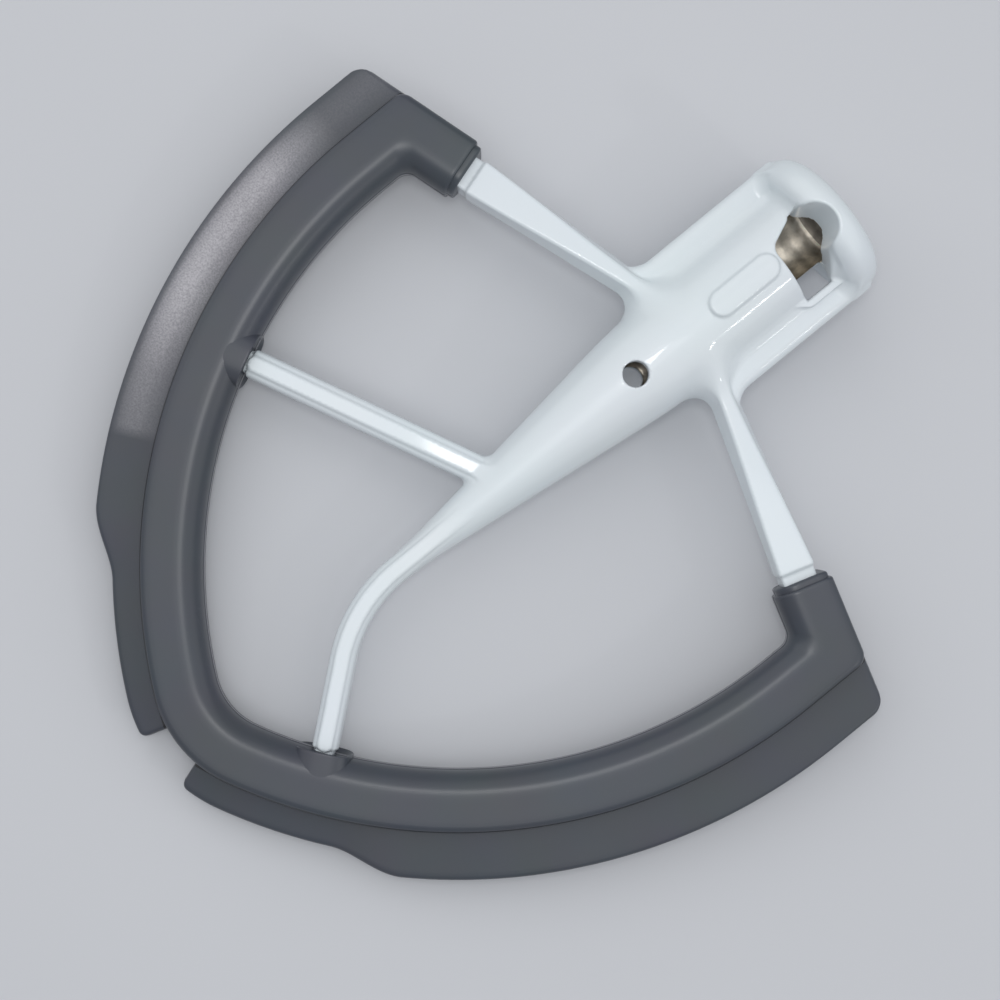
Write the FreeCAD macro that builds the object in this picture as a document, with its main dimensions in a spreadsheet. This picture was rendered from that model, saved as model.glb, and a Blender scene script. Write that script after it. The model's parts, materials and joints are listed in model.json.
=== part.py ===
import FreeCAD, Part
import math
import os
import Sketcher

# Stand mixer flat beater: a coated casting whose rim wears a soft grey edge.
# X runs across the beater, +Y points out of the shaft socket's mouth along the shaft, and Z is the
# thickness. The origin is on the shaft's axis in the plane of the mouth.

DIMENSIONS = (
    # Collar, barrel and shank, turned about the shaft's axis; lengths run down from the mouth
    ("collar_radius", 15.9),
    ("collar_length", 7.6),
    ("collar_narrowing", 0.9),
    ("collar_mouth_rounding", 3.9),
    ("collar_skirt_chamfer", 1.2),
    ("barrel_radius", 10.15),
    ("barrel_chamfer", 1.3),
    ("barrel_end", 46.0),
    ("shank_end", 107.0),
    ("shank_tip_radius", 2.4),
    # Wings, the flat webs beside the barrel
    ("wing_half_width", 15.6),
    ("wing_end", 38.5),
    ("wing_thickness", 5.6),
    ("wing_edge_chamfer", 0.9),
    ("wing_flare", 4.0),
    # Raised pad on the front of the barrel
    ("pad_width", 5.3),
    ("pad_top", 16.4),
    ("pad_bottom", 32.2),
    ("pad_height", 0.7),
    ("pad_edge_chamfer", 0.3),
    # Shaft socket with its bayonet window; the drive pin enters the keyway, turns and drops in the seat
    ("socket_radius", 6.35),
    ("socket_depth", 52.5),
    ("keyway_reach", 10.0),
    ("keyway_width", 5.4),
    ("keyway_inner", 5.6),
    ("slot_bottom", 15.6),
    ("seat_middle", 0.2),
    ("seat_radius", 4.2),
    ("slot_left", 2.0),
    ("guard_width", 1.9),
    ("guard_end", 18.3),
    ("guard_inset", 1.1),
    ("guard_thickness", 8.4),
    ("cross_hole_radius", 2.5),
    ("cross_hole_drop", 50.7),
    # Arms that slope from the barrel to the rim
    ("arm_root", 35.3),
    ("arm_slope", 16.8),
    ("arm_length", 51.2),
    ("arm_root_width", 4.4),
    ("arm_end_width", 8.0),
    ("arm_thickness", 9.0),
    ("arm_draft", 11.0),
    ("arm_edge_chamfer", 0.6),
    ("arm_underside_fillet", 4.0),
    ("blend_sink", 0.5),
    # Rim centre line: a bow on each side, joined at the tip
    ("rim_half_span", 65.0),
    ("rim_side_end", 65.0),
    ("rim_bow_radius", 101.2),
    ("rim_tip_rounding", 24.0),
    ("rim_core_width", 6.4),
    ("rim_core_thickness", 6.4),
    ("neck_overlap", 1.0),
    # Rib on one side and tail on the other, each a bar with a raised crest along its front and back
    ("rib_root", 83.0),
    ("rib_slope", 25.5),
    ("rib_width", 5.8),
    ("ridge_thickness", 5.6),
    ("crest_width", 4.4),
    ("crest_thickness", 7.4),
    ("ridge_draft", 17.0),
    ("crest_chamfer", 0.5),
    ("tail_top", 88.0),
    ("tail_width", 5.3),
    ("tail_bend_start", 110.0),
    ("tail_bend_radius", 30.0),
    ("tail_turn", 39.4),
    # Soft sleeve over the rim and the arm ends
    ("sleeve_start", 54.5),
    ("sleeve_width", 11.6),
    ("sleeve_thickness", 12.0),
    ("sleeve_inner_rounding", 4.2),
    ("sleeve_outer_chamfer", 1.0),
    ("sleeve_corner_rounding", 2.0),
    ("lip_length", 1.3),
    ("lip_inset", 0.6),
    # Wiper fins outside the sleeve
    ("fin_width", 10.0),
    ("fin_tip_width", 6.2),
    ("fin_thickness", 2.6),
    ("fin_top_inset", 0.4),
    ("fin_edge_chamfer", 0.6),
    ("fin_corner_rounding", 1.6),
    ("fin_step_angle", 44.6),
    ("fin_step_radius", 15.0),
    ("fin_gap", 8.8),
    ("fin_gap_splay", 1.6),
    # Conical bosses of the sleeve round the rib and the tail
    ("boss_mouth_radius", 5.4),
    ("boss_root_radius", 5.95),
    ("boss_depth", 4.2),
    ("boss_proud", 0.6),
)

doc = FreeCAD.newDocument("flat_beater")
sheet = doc.addObject("Spreadsheet::Sheet", "Dimensions")
for row, (alias, number) in enumerate(DIMENSIONS, start=1):
    sheet.set(f"A{row}", alias)
    sheet.set(f"B{row}", str(number))
    sheet.setAlias(f"B{row}", alias)
doc.recompute()


class Size:
    """A size worked out from the sheet: its present value, and the expression that keeps it true."""

    def __init__(self, value, text):
        self.value = value
        self.text = text

    def joined(self, other, sign, value):
        return Size(value, f"({self.text} {sign} {as_size(other).text})")

    def __add__(self, other):
        return self.joined(other, "+", self.value + as_size(other).value)

    def __sub__(self, other):
        return self.joined(other, "-", self.value - as_size(other).value)

    def __mul__(self, other):
        return self.joined(other, "*", self.value * as_size(other).value)

    def __truediv__(self, other):
        return self.joined(other, "/", self.value / as_size(other).value)

    def __neg__(self):
        return Size(-self.value, f"(0 - {self.text})")


def as_size(number):
    """A plain number as a Size, or the Size itself."""
    return number if isinstance(number, Size) else Size(float(number), repr(float(number)))


def cell(alias):
    """The Size held in one cell of the sheet."""
    return Size(float(sheet.get(alias)), f"Dimensions.{alias}")


def sine(angle):
    return Size(math.sin(math.radians(angle.value)), f"sin({angle.text})")


def cosine(angle):
    return Size(math.cos(math.radians(angle.value)), f"cos({angle.text})")


def tangent(angle):
    return Size(math.tan(math.radians(angle.value)), f"tan({angle.text})")


def arc_cosine(ratio):
    return Size(math.degrees(math.acos(ratio.value)), f"(acos({ratio.text}) / 1 deg)")


def root(size):
    return Size(math.sqrt(size.value), f"sqrt({size.text})")


ZERO = as_size(0)
RIGHT_ANGLE = as_size(90)
FULL_TURN = 360
TOUCHING = 1e-4


def bind(feature, name, size):
    """Tie one property of a feature to the sheet."""
    feature.setExpression(name, as_size(size).text)


def new_sketch(body, name, plane):
    """A sketch on one of the body's own origin planes."""
    sketch = body.newObject("Sketcher::SketchObject", name)
    support = next(item for item in body.Origin.OriginFeatures if item.Role == plane)
    sketch.AttachmentSupport = (support, [""])
    sketch.MapMode = "FlatFace"
    return sketch


def hold(sketch, kind, place, name, size):
    """Add one dimension to a sketch, named and tied to the sheet."""
    index = sketch.addConstraint(Sketcher.Constraint(kind, *place, size.value))
    sketch.renameConstraint(index, name)
    bind(sketch, f"Constraints.{name}", size)


def hold_point(sketch, geometry, position, name, x, y):
    """Fix a point of a sketch by its two coordinates."""
    axes = (("DistanceX", x, -2, "x"), ("DistanceY", y, -1, "y"))
    for kind, size, axis, letter in axes:
        if size is ZERO:
            sketch.addConstraint(Sketcher.Constraint("PointOnObject", geometry, position, axis))
        else:
            hold(sketch, kind, (-1, 1, geometry, position), f"{name}_{letter}", size)


def arc_between(start, end, radius):
    """The short arc from start to end; it turns left where the radius is positive."""
    chord = end - start
    side = FreeCAD.Vector(-chord.y, chord.x, 0).normalize()
    rise = math.sqrt(radius ** 2 - (chord.Length / 2) ** 2)
    centre = (start + end) / 2 + side * math.copysign(rise, radius)
    first, last = (start, end) if radius > 0 else (end, start)
    angles = [math.atan2(point.y - centre.y, point.x - centre.x) for point in (first, last)]
    circle = Part.Circle(centre, FreeCAD.Vector(0, 0, 1), abs(radius))
    return Part.ArcOfCircle(circle, *angles)


def draw(sketch, corners, prefix="corner"):
    """Close an outline through corners (x, y), or (x, y, radius) where an arc leads to the next one."""
    points = [FreeCAD.Vector(corner[0].value, corner[1].value, 0) for corner in corners]
    count = len(corners)
    ends = []
    for index, corner in enumerate(corners):
        start, end = points[index], points[(index + 1) % count]
        if len(corner) == 2:
            geometry = sketch.addGeometry(Part.LineSegment(start, end))
            ends.append((geometry, 1, 2))
            continue
        turn = corner[2].value
        geometry = sketch.addGeometry(arc_between(start, end, turn))
        ends.append((geometry, 1, 2) if turn > 0 else (geometry, 2, 1))
        radius = corner[2] if turn > 0 else -corner[2]
        hold(sketch, "Radius", (geometry,), f"{prefix}_{index}_radius", radius)
    for index, corner in enumerate(corners):
        geometry, first, _ = ends[index]
        before, _, last = ends[index - 1]
        sketch.addConstraint(Sketcher.Constraint("Coincident", before, last, geometry, first))
        hold_point(sketch, geometry, first, f"{prefix}_{index}", corner[0], corner[1])


def circle(sketch, x, y, radius):
    """Draw a full circle."""
    centre = FreeCAD.Vector(x.value, y.value, 0)
    geometry = sketch.addGeometry(Part.Circle(centre, FreeCAD.Vector(0, 0, 1), radius.value))
    hold_point(sketch, geometry, 3, "centre", x, y)
    hold(sketch, "Radius", (geometry,), "radius", radius)


def pad_both_ways(body, name, sketch, thickness, draft=None):
    """A pad that stands out equally to the front and the back, narrowing by the draft angle."""
    pad = body.newObject("PartDesign::Pad", name)
    pad.Profile = sketch
    pad.SideType = "Symmetric"
    bind(pad, "Length", thickness)
    if draft is not None:
        bind(pad, "TaperAngle", -draft)
    return pad


def pocket(body, name, sketch, depth, reverse=False):
    """A pocket from the sketch's plane, checked to have removed material."""
    before = body.Tip.Shape.Volume
    cut = body.newObject("PartDesign::Pocket", name)
    cut.Profile = sketch
    cut.Reversed = reverse
    bind(cut, "Length", depth)
    doc.recompute()
    if not cut.Shape.Volume < before:
        raise RuntimeError(f"{name} removed nothing")
    return cut


def fillet(body, name, edges, radius):
    """Round the named edges of the body's present shape."""
    base = body.Tip
    rounded = body.newObject("PartDesign::Fillet", name)
    rounded.Base = (base, edges)
    bind(rounded, "Radius", radius)
    doc.recompute()
    return rounded


def chamfer(body, name, edges, size):
    """Bevel the named edges of the body's present shape."""
    base = body.Tip
    bevelled = body.newObject("PartDesign::Chamfer", name)
    bevelled.Base = (base, edges)
    bind(bevelled, "Size", size)
    doc.recompute()
    return bevelled


def edges_of(shape, wanted):
    """Names of the shape's edges that pass a test."""
    return [f"Edge{number}" for number, edge in enumerate(shape.Edges, start=1) if wanted(edge)]


# Lines of the arms and the rim
slope = cell("arm_slope")
arm_root = -cell("arm_root")


def on_arm(along, across):
    """The point of the right arm at a distance along its axis and a distance above it."""
    x = along * cosine(slope) + across * sine(slope)
    y = arm_root - along * sine(slope) + across * cosine(slope)
    return x, y


def mirrored(corners):
    """The same points on the left side."""
    return [(-x, y) for x, y in corners]


bow = cell("rim_bow_radius")
reach = cell("rim_half_span")
side_end = -cell("rim_side_end")
bow_offset = bow - reach
tip_gap = bow - cell("rim_tip_rounding")
tip_drop = root(tip_gap * tip_gap - bow_offset * bow_offset)
corner_turn = RIGHT_ANGLE - slope
corner_rounding = cell("sleeve_corner_rounding")
corner_run = corner_rounding * tangent(corner_turn / 2)


def rim_side(beyond, above, start):
    """Right half of a line along the rim: beyond is its distance outside the rim's centre line, and
    above its distance over the arm's axis. It starts at a distance along the arm."""
    x = reach + beyond
    corner_y = arm_root - x * tangent(slope) + above / cosine(slope)
    arc = bow + beyond
    tip_x = bow_offset * arc / tip_gap - bow_offset
    tip_y = side_end - tip_drop * arc / tip_gap
    return (
        on_arm(start, above),
        (x - corner_run * cosine(slope), corner_y + corner_run * sine(slope)),
        (x, corner_y - corner_run),
        (x, side_end),
        (tip_x, tip_y),
    )


def rim_band(beyond, above, inside, start):
    """Closed outline of a band along the whole rim, from one arm round the tip to the other."""
    tip_rounding = cell("rim_tip_rounding")
    outer_turns = (None, -corner_rounding, None, -(bow + beyond), -(tip_rounding + beyond))
    inner_turns = (None, corner_rounding, None, bow - inside, tip_rounding - inside)
    outer = rim_side(beyond, above, start)
    inner = rim_side(-inside, -inside, start)
    right_out = list(zip(outer, outer_turns))
    left_out = list(zip(reversed(mirrored(outer)), outer_turns[3::-1] + (None,)))
    left_in = list(zip(mirrored(inner), inner_turns))
    right_in = list(zip(reversed(inner), inner_turns[3::-1] + (None,)))
    corners = []
    for point, turn in right_out + left_out + left_in + right_in:
        corners.append(point if turn is None else (*point, turn))
    return corners


def run_to_rim(x, y, across, down, centre_x):
    """Distance from a point to the rim's centre line, along the direction (across, down)."""
    from_x = x - centre_x
    from_y = y - side_end
    half = from_x * across - from_y * down
    return root(half * half - from_x * from_x - from_y * from_y + bow * bow) - half


# The casting
frame = doc.addObject("PartDesign::Body", "beater_frame")
frame.Label = "beater_frame"

collar_radius = cell("collar_radius")
collar_length = cell("collar_length")
mouth_rounding = cell("collar_mouth_rounding")
collar_lean = cell("collar_narrowing") / collar_length
collar_stretch = root(collar_lean * collar_lean + 1)
skirt_chamfer = cell("collar_skirt_chamfer")
barrel_radius = cell("barrel_radius")
barrel_chamfer = cell("barrel_chamfer")

arm_length = cell("arm_length")
root_half = cell("arm_root_width") / 2
end_half = cell("arm_end_width") / 2
arm_tip_top = on_arm(arm_length, end_half)
arm_tip_bottom = on_arm(arm_length, -end_half)
arm_root_top = arm_root + root_half / cosine(slope)
arm_root_bottom = arm_root - root_half / cosine(slope)
blend_sink = cell("blend_sink")


def blend_onto(x, radius, line_start, line_end, hand):
    """The ends of an arc that runs from the upright line at x onto an arm's long edge, which starts on
    the shaft's axis at the height line_start. Hand is 1 above the arm and -1 below it."""
    fall = (line_end[1] - line_start) / line_end[0]
    stretch = root(fall * fall + 1)
    centre_x = x + radius
    centre_y = line_start + fall * centre_x + (radius * stretch - blend_sink) * hand
    edge_x = centre_x + radius * fall / stretch * hand
    edge_y = centre_y - radius / stretch * hand
    return (x, centre_y), (edge_x, edge_y)


def is_straight(item):
    """True for a straight edge."""
    return item.Curve.TypeId == "Part::GeomLine"


def at_level(item, thickness):
    """True for an edge in the front or back face of something so thick."""
    return abs(abs(item.CenterOfMass.z) - thickness.value / 2) < TOUCHING


def on_wing_rim(item):
    """True for the long outer edges of the wings' faces."""
    outside = abs(abs(item.CenterOfMass.x) - wing.value) < TOUCHING
    return is_straight(item) and outside and at_level(item, cell("wing_thickness"))


def along_arm(item):
    """True for the long edges of the arms' faces."""
    along = item.tangentAt(item.FirstParameter)
    return is_straight(item) and abs(along.x) > abs(along.y) and at_level(item, cell("arm_thickness"))


wing = cell("wing_half_width")
wing_top = skirt_chamfer - collar_length
wing_flare = cell("wing_flare")
flare_start, flare_end = blend_onto(wing, wing_flare, arm_root_top, arm_tip_top, 1)
wing_bottom = -cell("wing_end")
wing_outline = new_sketch(frame, "wing_outline", "XY_Plane")
draw(wing_outline, [
    (-wing, wing_top),
    (wing, wing_top),
    (*flare_start, wing_flare),
    flare_end,
    (flare_end[0], flare_end[1] - root_half),
    (wing, wing_bottom),
    (-wing, wing_bottom),
    (-flare_end[0], flare_end[1] - root_half),
    (-flare_end[0], flare_end[1], wing_flare),
    (-flare_start[0], flare_start[1]),
])
pad_both_ways(frame, "wings", wing_outline, cell("wing_thickness"))
doc.recompute()
chamfer(frame, "wing_edges", edges_of(frame.Shape, on_wing_rim), cell("wing_edge_chamfer"))

underside = cell("arm_underside_fillet")
under_x = barrel_radius - blend_sink
under_start, under_end = blend_onto(under_x, underside, arm_root_bottom, arm_tip_bottom, -1)
arm_outline = new_sketch(frame, "arm_outline", "XY_Plane")
draw(arm_outline, [
    (ZERO, arm_root_top),
    arm_tip_top,
    arm_tip_bottom,
    (*under_end, underside),
    under_start,
    (-under_start[0], under_start[1], underside),
    (-under_end[0], under_end[1]),
    *reversed(mirrored([arm_tip_top, arm_tip_bottom])),
])
pad_both_ways(frame, "arms", arm_outline, cell("arm_thickness"), cell("arm_draft"))
doc.recompute()
chamfer(frame, "arm_edges", edges_of(frame.Shape, along_arm), cell("arm_edge_chamfer"))

rounding_inset = (collar_length - mouth_rounding) * collar_lean + mouth_rounding * collar_stretch
rounding_x = collar_radius - rounding_inset
hub_profile = new_sketch(frame, "hub_profile", "XY_Plane")
draw(hub_profile, [
    (ZERO, ZERO),
    (rounding_x, ZERO, -mouth_rounding),
    (rounding_x + mouth_rounding / collar_stretch, mouth_rounding * collar_lean / collar_stretch - mouth_rounding),
    (collar_radius - skirt_chamfer * collar_lean, skirt_chamfer - collar_length),
    (collar_radius - skirt_chamfer, -collar_length),
    (barrel_radius + barrel_chamfer, -collar_length),
    (barrel_radius, -collar_length - barrel_chamfer),
    (barrel_radius, -cell("barrel_end")),
    (cell("shank_tip_radius"), -cell("shank_end")),
    (ZERO, -cell("shank_end")),
])
hub = frame.newObject("PartDesign::Revolution", "hub")
hub.Profile = hub_profile
hub.ReferenceAxis = (hub_profile, ["V_Axis"])
hub.Angle = FULL_TURN
doc.recompute()

core_half = cell("rim_core_width") / 2
core_outline = new_sketch(frame, "rim_core_outline", "XY_Plane")
draw(core_outline, rim_band(core_half, core_half, core_half, arm_length - cell("neck_overlap")))
pad_both_ways(frame, "rim_core", core_outline, cell("rim_core_thickness"))
doc.recompute()

rib_slope = cell("rib_slope")
rib_root = -cell("rib_root")
rib_run = run_to_rim(ZERO, rib_root, -cosine(rib_slope), sine(rib_slope), bow_offset)


def on_rib(along, across):
    """The point at a distance along the rib from the shaft's axis and a distance above it."""
    x = -along * cosine(rib_slope) - across * sine(rib_slope)
    y = rib_root - along * sine(rib_slope) + across * cosine(rib_slope)
    return x, y


def rib_bar(side):
    """Outline of a bar along the rib, with its sides at a distance from the rib's axis."""
    return [
        on_rib(ZERO, side),
        on_rib(ZERO, -side),
        on_rib(rib_run, -side),
        on_rib(rib_run, side),
    ]


tail_turn = cell("tail_turn")
bend_radius = cell("tail_bend_radius")
bend_start = -cell("tail_bend_start")
bend_end_x = bend_radius - bend_radius * cosine(tail_turn)
bend_end_y = bend_start - bend_radius * sine(tail_turn)
tail_run = run_to_rim(bend_end_x, bend_end_y, sine(tail_turn), cosine(tail_turn), -bow_offset)


def on_tail(along, across):
    """The point at a distance along the tail's straight end and a distance to its right."""
    x = bend_end_x + along * sine(tail_turn) + across * cosine(tail_turn)
    y = bend_end_y - along * cosine(tail_turn) + across * sine(tail_turn)
    return x, y


def tail_bar(side):
    """Outline of a bar along the tail, with its sides at a distance from the tail's axis."""
    return [
        (-side, -cell("tail_top")),
        (-side, bend_start, bend_radius + side),
        on_tail(ZERO, -side),
        on_tail(tail_run, -side),
        on_tail(tail_run, side),
        (*on_tail(ZERO, side), side - bend_radius),
        (side, bend_start),
        (side, -cell("tail_top")),
    ]


def ridge(name, bar, width):
    """A bar with a narrower crest that stands out of its front and its back."""
    layers = (
        (name, width, cell("ridge_thickness")),
        (f"{name}_crest", cell("crest_width"), cell("crest_thickness")),
    )
    for layer, across, thickness in layers:
        outline = new_sketch(frame, f"{layer}_outline", "XY_Plane")
        draw(outline, bar(across / 2))
        pad_both_ways(frame, layer, outline, thickness, cell("ridge_draft"))
        doc.recompute()


ridge("rib", rib_bar, cell("rib_width"))
ridge("tail", tail_bar, cell("tail_width"))

keyway_reach = cell("keyway_reach")
guard_left = keyway_reach - cell("guard_inset")
guard_right = keyway_reach + cell("guard_width")
guard_outline = new_sketch(frame, "keyway_guard_outline", "XY_Plane")
draw(guard_outline, [
    (guard_left, -collar_length / 2),
    (guard_left, -cell("guard_end")),
    (guard_right, -cell("guard_end")),
    (guard_right, -collar_length / 2),
])
pad_both_ways(frame, "keyway_guard", guard_outline, cell("guard_thickness"))

pad_half = cell("pad_width") / 2
pad_top = -cell("pad_top") - pad_half
pad_bottom = pad_half - cell("pad_bottom")
barrel_pad_outline = new_sketch(frame, "barrel_pad_outline", "XY_Plane")
draw(barrel_pad_outline, [
    (ZERO, -cell("pad_top"), pad_half),
    (-pad_half, pad_top),
    (-pad_half, pad_bottom, pad_half),
    (ZERO, -cell("pad_bottom"), pad_half),
    (pad_half, pad_bottom),
    (pad_half, pad_top, pad_half),
])
barrel_pad = frame.newObject("PartDesign::Pad", "barrel_pad")
barrel_pad.Profile = barrel_pad_outline
bind(barrel_pad, "Length", barrel_radius + cell("pad_height"))
doc.recompute()


def along_crest(item):
    """True for the long edges of the crests' narrow faces."""
    return at_level(item, cell("crest_thickness")) and item.Length > 2 * cell("crest_width").value


def on_pad_rim(item):
    """True for the edges of the raised pad's face."""
    return abs(item.CenterOfMass.z - barrel_radius.value - cell("pad_height").value) < TOUCHING


chamfer(frame, "crest_edges", edges_of(frame.Shape, along_crest), cell("crest_chamfer"))
chamfer(frame, "barrel_pad_edges", edges_of(frame.Shape, on_pad_rim), cell("pad_edge_chamfer"))

socket_radius = cell("socket_radius")
socket_depth = -cell("socket_depth")
socket_profile = new_sketch(frame, "socket_profile", "XY_Plane")
draw(socket_profile, [
    (ZERO, ZERO),
    (ZERO, socket_depth - socket_radius / 2),
    (socket_radius, socket_depth),
    (socket_radius, ZERO),
])
socket = frame.newObject("PartDesign::Groove", "shaft_socket")
socket.Profile = socket_profile
socket.ReferenceAxis = (socket_profile, ["V_Axis"])
socket.Angle = FULL_TURN
doc.recompute()

slot_bottom = -cell("slot_bottom")
keyway_outline = new_sketch(frame, "keyway_outline", "XY_Plane")
draw(keyway_outline, [
    (ZERO, ZERO),
    (ZERO, slot_bottom),
    (keyway_reach, slot_bottom),
    (keyway_reach, ZERO),
])
keyway = frame.newObject("PartDesign::Pocket", "keyway")
keyway.Profile = keyway_outline
keyway.SideType = "Symmetric"
bind(keyway, "Length", cell("keyway_width"))
doc.recompute()

seat_middle = -cell("seat_middle")
seat_radius = cell("seat_radius")
window_outline = new_sketch(frame, "window_outline", "XY_Plane")
draw(window_outline, [
    (seat_middle, seat_radius - collar_length, seat_radius),
    (seat_middle - seat_radius, -collar_length),
    (-cell("slot_left"), slot_bottom),
    (keyway_reach, slot_bottom),
    (keyway_reach, -collar_length),
    (seat_middle + seat_radius, -collar_length, seat_radius),
])
pocket(frame, "window", window_outline, collar_radius, reverse=True)

back_slot_outline = new_sketch(frame, "back_slot_outline", "XY_Plane")
draw(back_slot_outline, [
    (cell("keyway_inner"), -collar_length),
    (cell("keyway_inner"), slot_bottom),
    (keyway_reach, slot_bottom),
    (keyway_reach, -collar_length),
])
pocket(frame, "back_slot", back_slot_outline, collar_radius)

cross_hole_outline = new_sketch(frame, "cross_hole_outline", "XY_Plane")
circle(cross_hole_outline, ZERO, -cell("cross_hole_drop"), cell("cross_hole_radius"))
cross_hole = frame.newObject("PartDesign::Pocket", "cross_hole")
cross_hole.Profile = cross_hole_outline
cross_hole.SideType = "Symmetric"
bind(cross_hole, "Length", collar_radius * 2)
doc.recompute()

# Wiper fins of the soft edge
fin_body = doc.addObject("PartDesign::Body", "fin_body")
half = cell("sleeve_width") / 2
fin = half + cell("fin_width")
fin_tip = half + cell("fin_tip_width")
sleeve_start = cell("sleeve_start")

fin_outline = new_sketch(fin_body, "fin_outline", "XY_Plane")
draw(fin_outline, rim_band(fin, half - cell("fin_top_inset"), ZERO, sleeve_start + half))
pad_both_ways(fin_body, "fins", fin_outline, cell("fin_thickness"))
doc.recompute()

# Each fin narrows in two equal arcs, one turning in from its wide edge and one back onto its tip edge
step_angle = cell("fin_step_angle")
step_radius = cell("fin_step_radius")
wide_edge = bow + fin
tip_edge = bow + fin_tip
turn_in = wide_edge - step_radius
turn_back = tip_edge + step_radius
step_squares = turn_in * turn_in + turn_back * turn_back - step_radius * step_radius * 4
step_cosine = step_squares / (turn_in * turn_back * 2)
step_end = step_angle + arc_cosine(step_cosine)


def on_bow(radius, angle):
    """The point of the right bow's arc of a radius, at an angle below the horizontal."""
    return radius * cosine(angle) - bow_offset, side_end - radius * sine(angle)


def midway(first, second):
    """The point halfway between two points."""
    return (first[0] + second[0]) / 2, (first[1] + second[1]) / 2


step_start_point = on_bow(wide_edge, step_angle)
step_middle_point = midway(on_bow(turn_in, step_angle), on_bow(turn_back, step_end))
step_end_point = on_bow(tip_edge, step_end)
below = side_end - wide_edge
for side, hand in (("right", 1), ("left", -1)):
    step_outline = new_sketch(fin_body, f"fin_step_{side}", "XY_Plane")
    draw(step_outline, [
        (step_start_point[0] * hand, step_start_point[1], step_radius * -hand),
        (step_middle_point[0] * hand, step_middle_point[1], step_radius * hand),
        (step_end_point[0] * hand, step_end_point[1], tip_edge * -hand),
        (ZERO, side_end - root(tip_edge * tip_edge - bow_offset * bow_offset)),
        (ZERO, below),
        (wide_edge * hand, below),
        (wide_edge * hand, step_start_point[1]),
    ])
    step_cut = fin_body.newObject("PartDesign::Pocket", f"fin_step_{side}_cut")
    step_cut.Profile = step_outline
    step_cut.SideType = "Symmetric"
    bind(step_cut, "Length", cell("fin_thickness") * 2)
    doc.recompute()

gap_half = cell("fin_gap") / 2
gap_top = side_end - tip_drop
gap_outline = new_sketch(fin_body, "fin_gap_outline", "XY_Plane")
draw(gap_outline, [
    (-gap_half, gap_top),
    (-gap_half - cell("fin_gap_splay"), below),
    (gap_half + cell("fin_gap_splay"), below),
    (gap_half, gap_top),
])
gap = fin_body.newObject("PartDesign::Pocket", "fin_gap_cut")
gap.Profile = gap_outline
gap.SideType = "Symmetric"
bind(gap, "Length", cell("fin_thickness") * 2)
doc.recompute()


sleeve_tip = gap_top - cell("rim_tip_rounding") - half


def on_fin_face(item):
    """True for the edges of the fins' front and back faces."""
    return abs(abs(item.CenterOfMass.z) - cell("fin_thickness").value / 2) < TOUCHING


def on_wide_edge(item):
    """True for the edges that bound the fins' faces along their wide outer edge."""
    middle = item.valueAt((item.FirstParameter + item.LastParameter) / 2)
    radius = math.hypot(abs(middle.x) + bow_offset.value, middle.y - side_end.value)
    return on_fin_face(item) and abs(radius - wide_edge.value) < TOUCHING


def at_fin_tip(item):
    """True for the upright edges at the fins' tips, outside the sleeve."""
    upright = abs(item.tangentAt(item.FirstParameter).z) > 1 - TOUCHING
    return upright and item.CenterOfMass.y < sleeve_tip.value


fillet(fin_body, "fin_tip_corners", edges_of(fin_body.Shape, at_fin_tip), cell("fin_corner_rounding"))
chamfer(fin_body, "fin_edges", edges_of(fin_body.Shape, on_wide_edge), cell("fin_edge_chamfer"))

# Sleeve of the soft edge, with a lip at each arm and a conical boss round the rib and the tail
sleeve_body = doc.addObject("PartDesign::Body", "sleeve_body")
sleeve_outline = new_sketch(sleeve_body, "sleeve_outline", "XY_Plane")
draw(sleeve_outline, rim_band(half, half, half, sleeve_start))
pad_both_ways(sleeve_body, "sleeve", sleeve_outline, cell("sleeve_thickness"))
doc.recompute()

lip_inset = cell("lip_inset")
lip_length = cell("lip_length")
lip_half = half - lip_inset
lip_thickness = cell("sleeve_thickness") - lip_inset * 2
lip = [
    on_arm(sleeve_start - lip_length, -lip_half),
    on_arm(sleeve_start + lip_length, -lip_half),
    on_arm(sleeve_start + lip_length, lip_half),
    on_arm(sleeve_start - lip_length, lip_half),
]
lip_outline = new_sketch(sleeve_body, "lip_outline", "XY_Plane")
draw(lip_outline, lip, "right")
draw(lip_outline, mirrored(lip), "left")
pad_both_ways(sleeve_body, "lips", lip_outline, lip_thickness)
doc.recompute()


def under_lip(item):
    """True for the edges of the lips' faces that run along the arm, on its lower side."""
    middle = item.CenterOfMass
    along = item.tangentAt(item.FirstParameter)
    above = abs(middle.x) * sine(slope).value + (middle.y - arm_root.value) * cosine(slope).value
    return is_straight(item) and abs(along.x) > abs(along.y) and at_level(item, lip_thickness) and above < 0


lip_edges = edges_of(sleeve_body.Shape, under_lip)
fillet(sleeve_body, "lip_inner_edges", lip_edges, cell("sleeve_inner_rounding") - lip_inset)


def at_tip(inside):
    """A test for the sleeve's face edges that cross the beater's middle, inside or outside the rim."""
    def wanted(item):
        middle = item.CenterOfMass
        across = abs(middle.x) < TOUCHING and abs(item.tangentAt(item.FirstParameter).z) < TOUCHING
        return across and (middle.y > gap_top.value - cell("rim_tip_rounding").value) == inside
    return wanted


# The rounding of the inner edges is cut in three flat bevels that touch its arc
inner_rounding = cell("sleeve_inner_rounding")
wide_bevel = inner_rounding * (as_size(1) - tangent(RIGHT_ANGLE / 4))
narrow_bevel = inner_rounding * (tangent(RIGHT_ANGLE / 4) - tangent(RIGHT_ANGLE / 8))
for name, size in (("sleeve_inner_edges", wide_bevel), ("sleeve_inner_bevels", narrow_bevel)):
    chamfer(sleeve_body, name, edges_of(sleeve_body.Shape, at_tip(True)), size)
outer_edges = edges_of(sleeve_body.Shape, at_tip(False))
chamfer(sleeve_body, "sleeve_outer_edges", outer_edges, cell("sleeve_outer_chamfer"))


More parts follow.
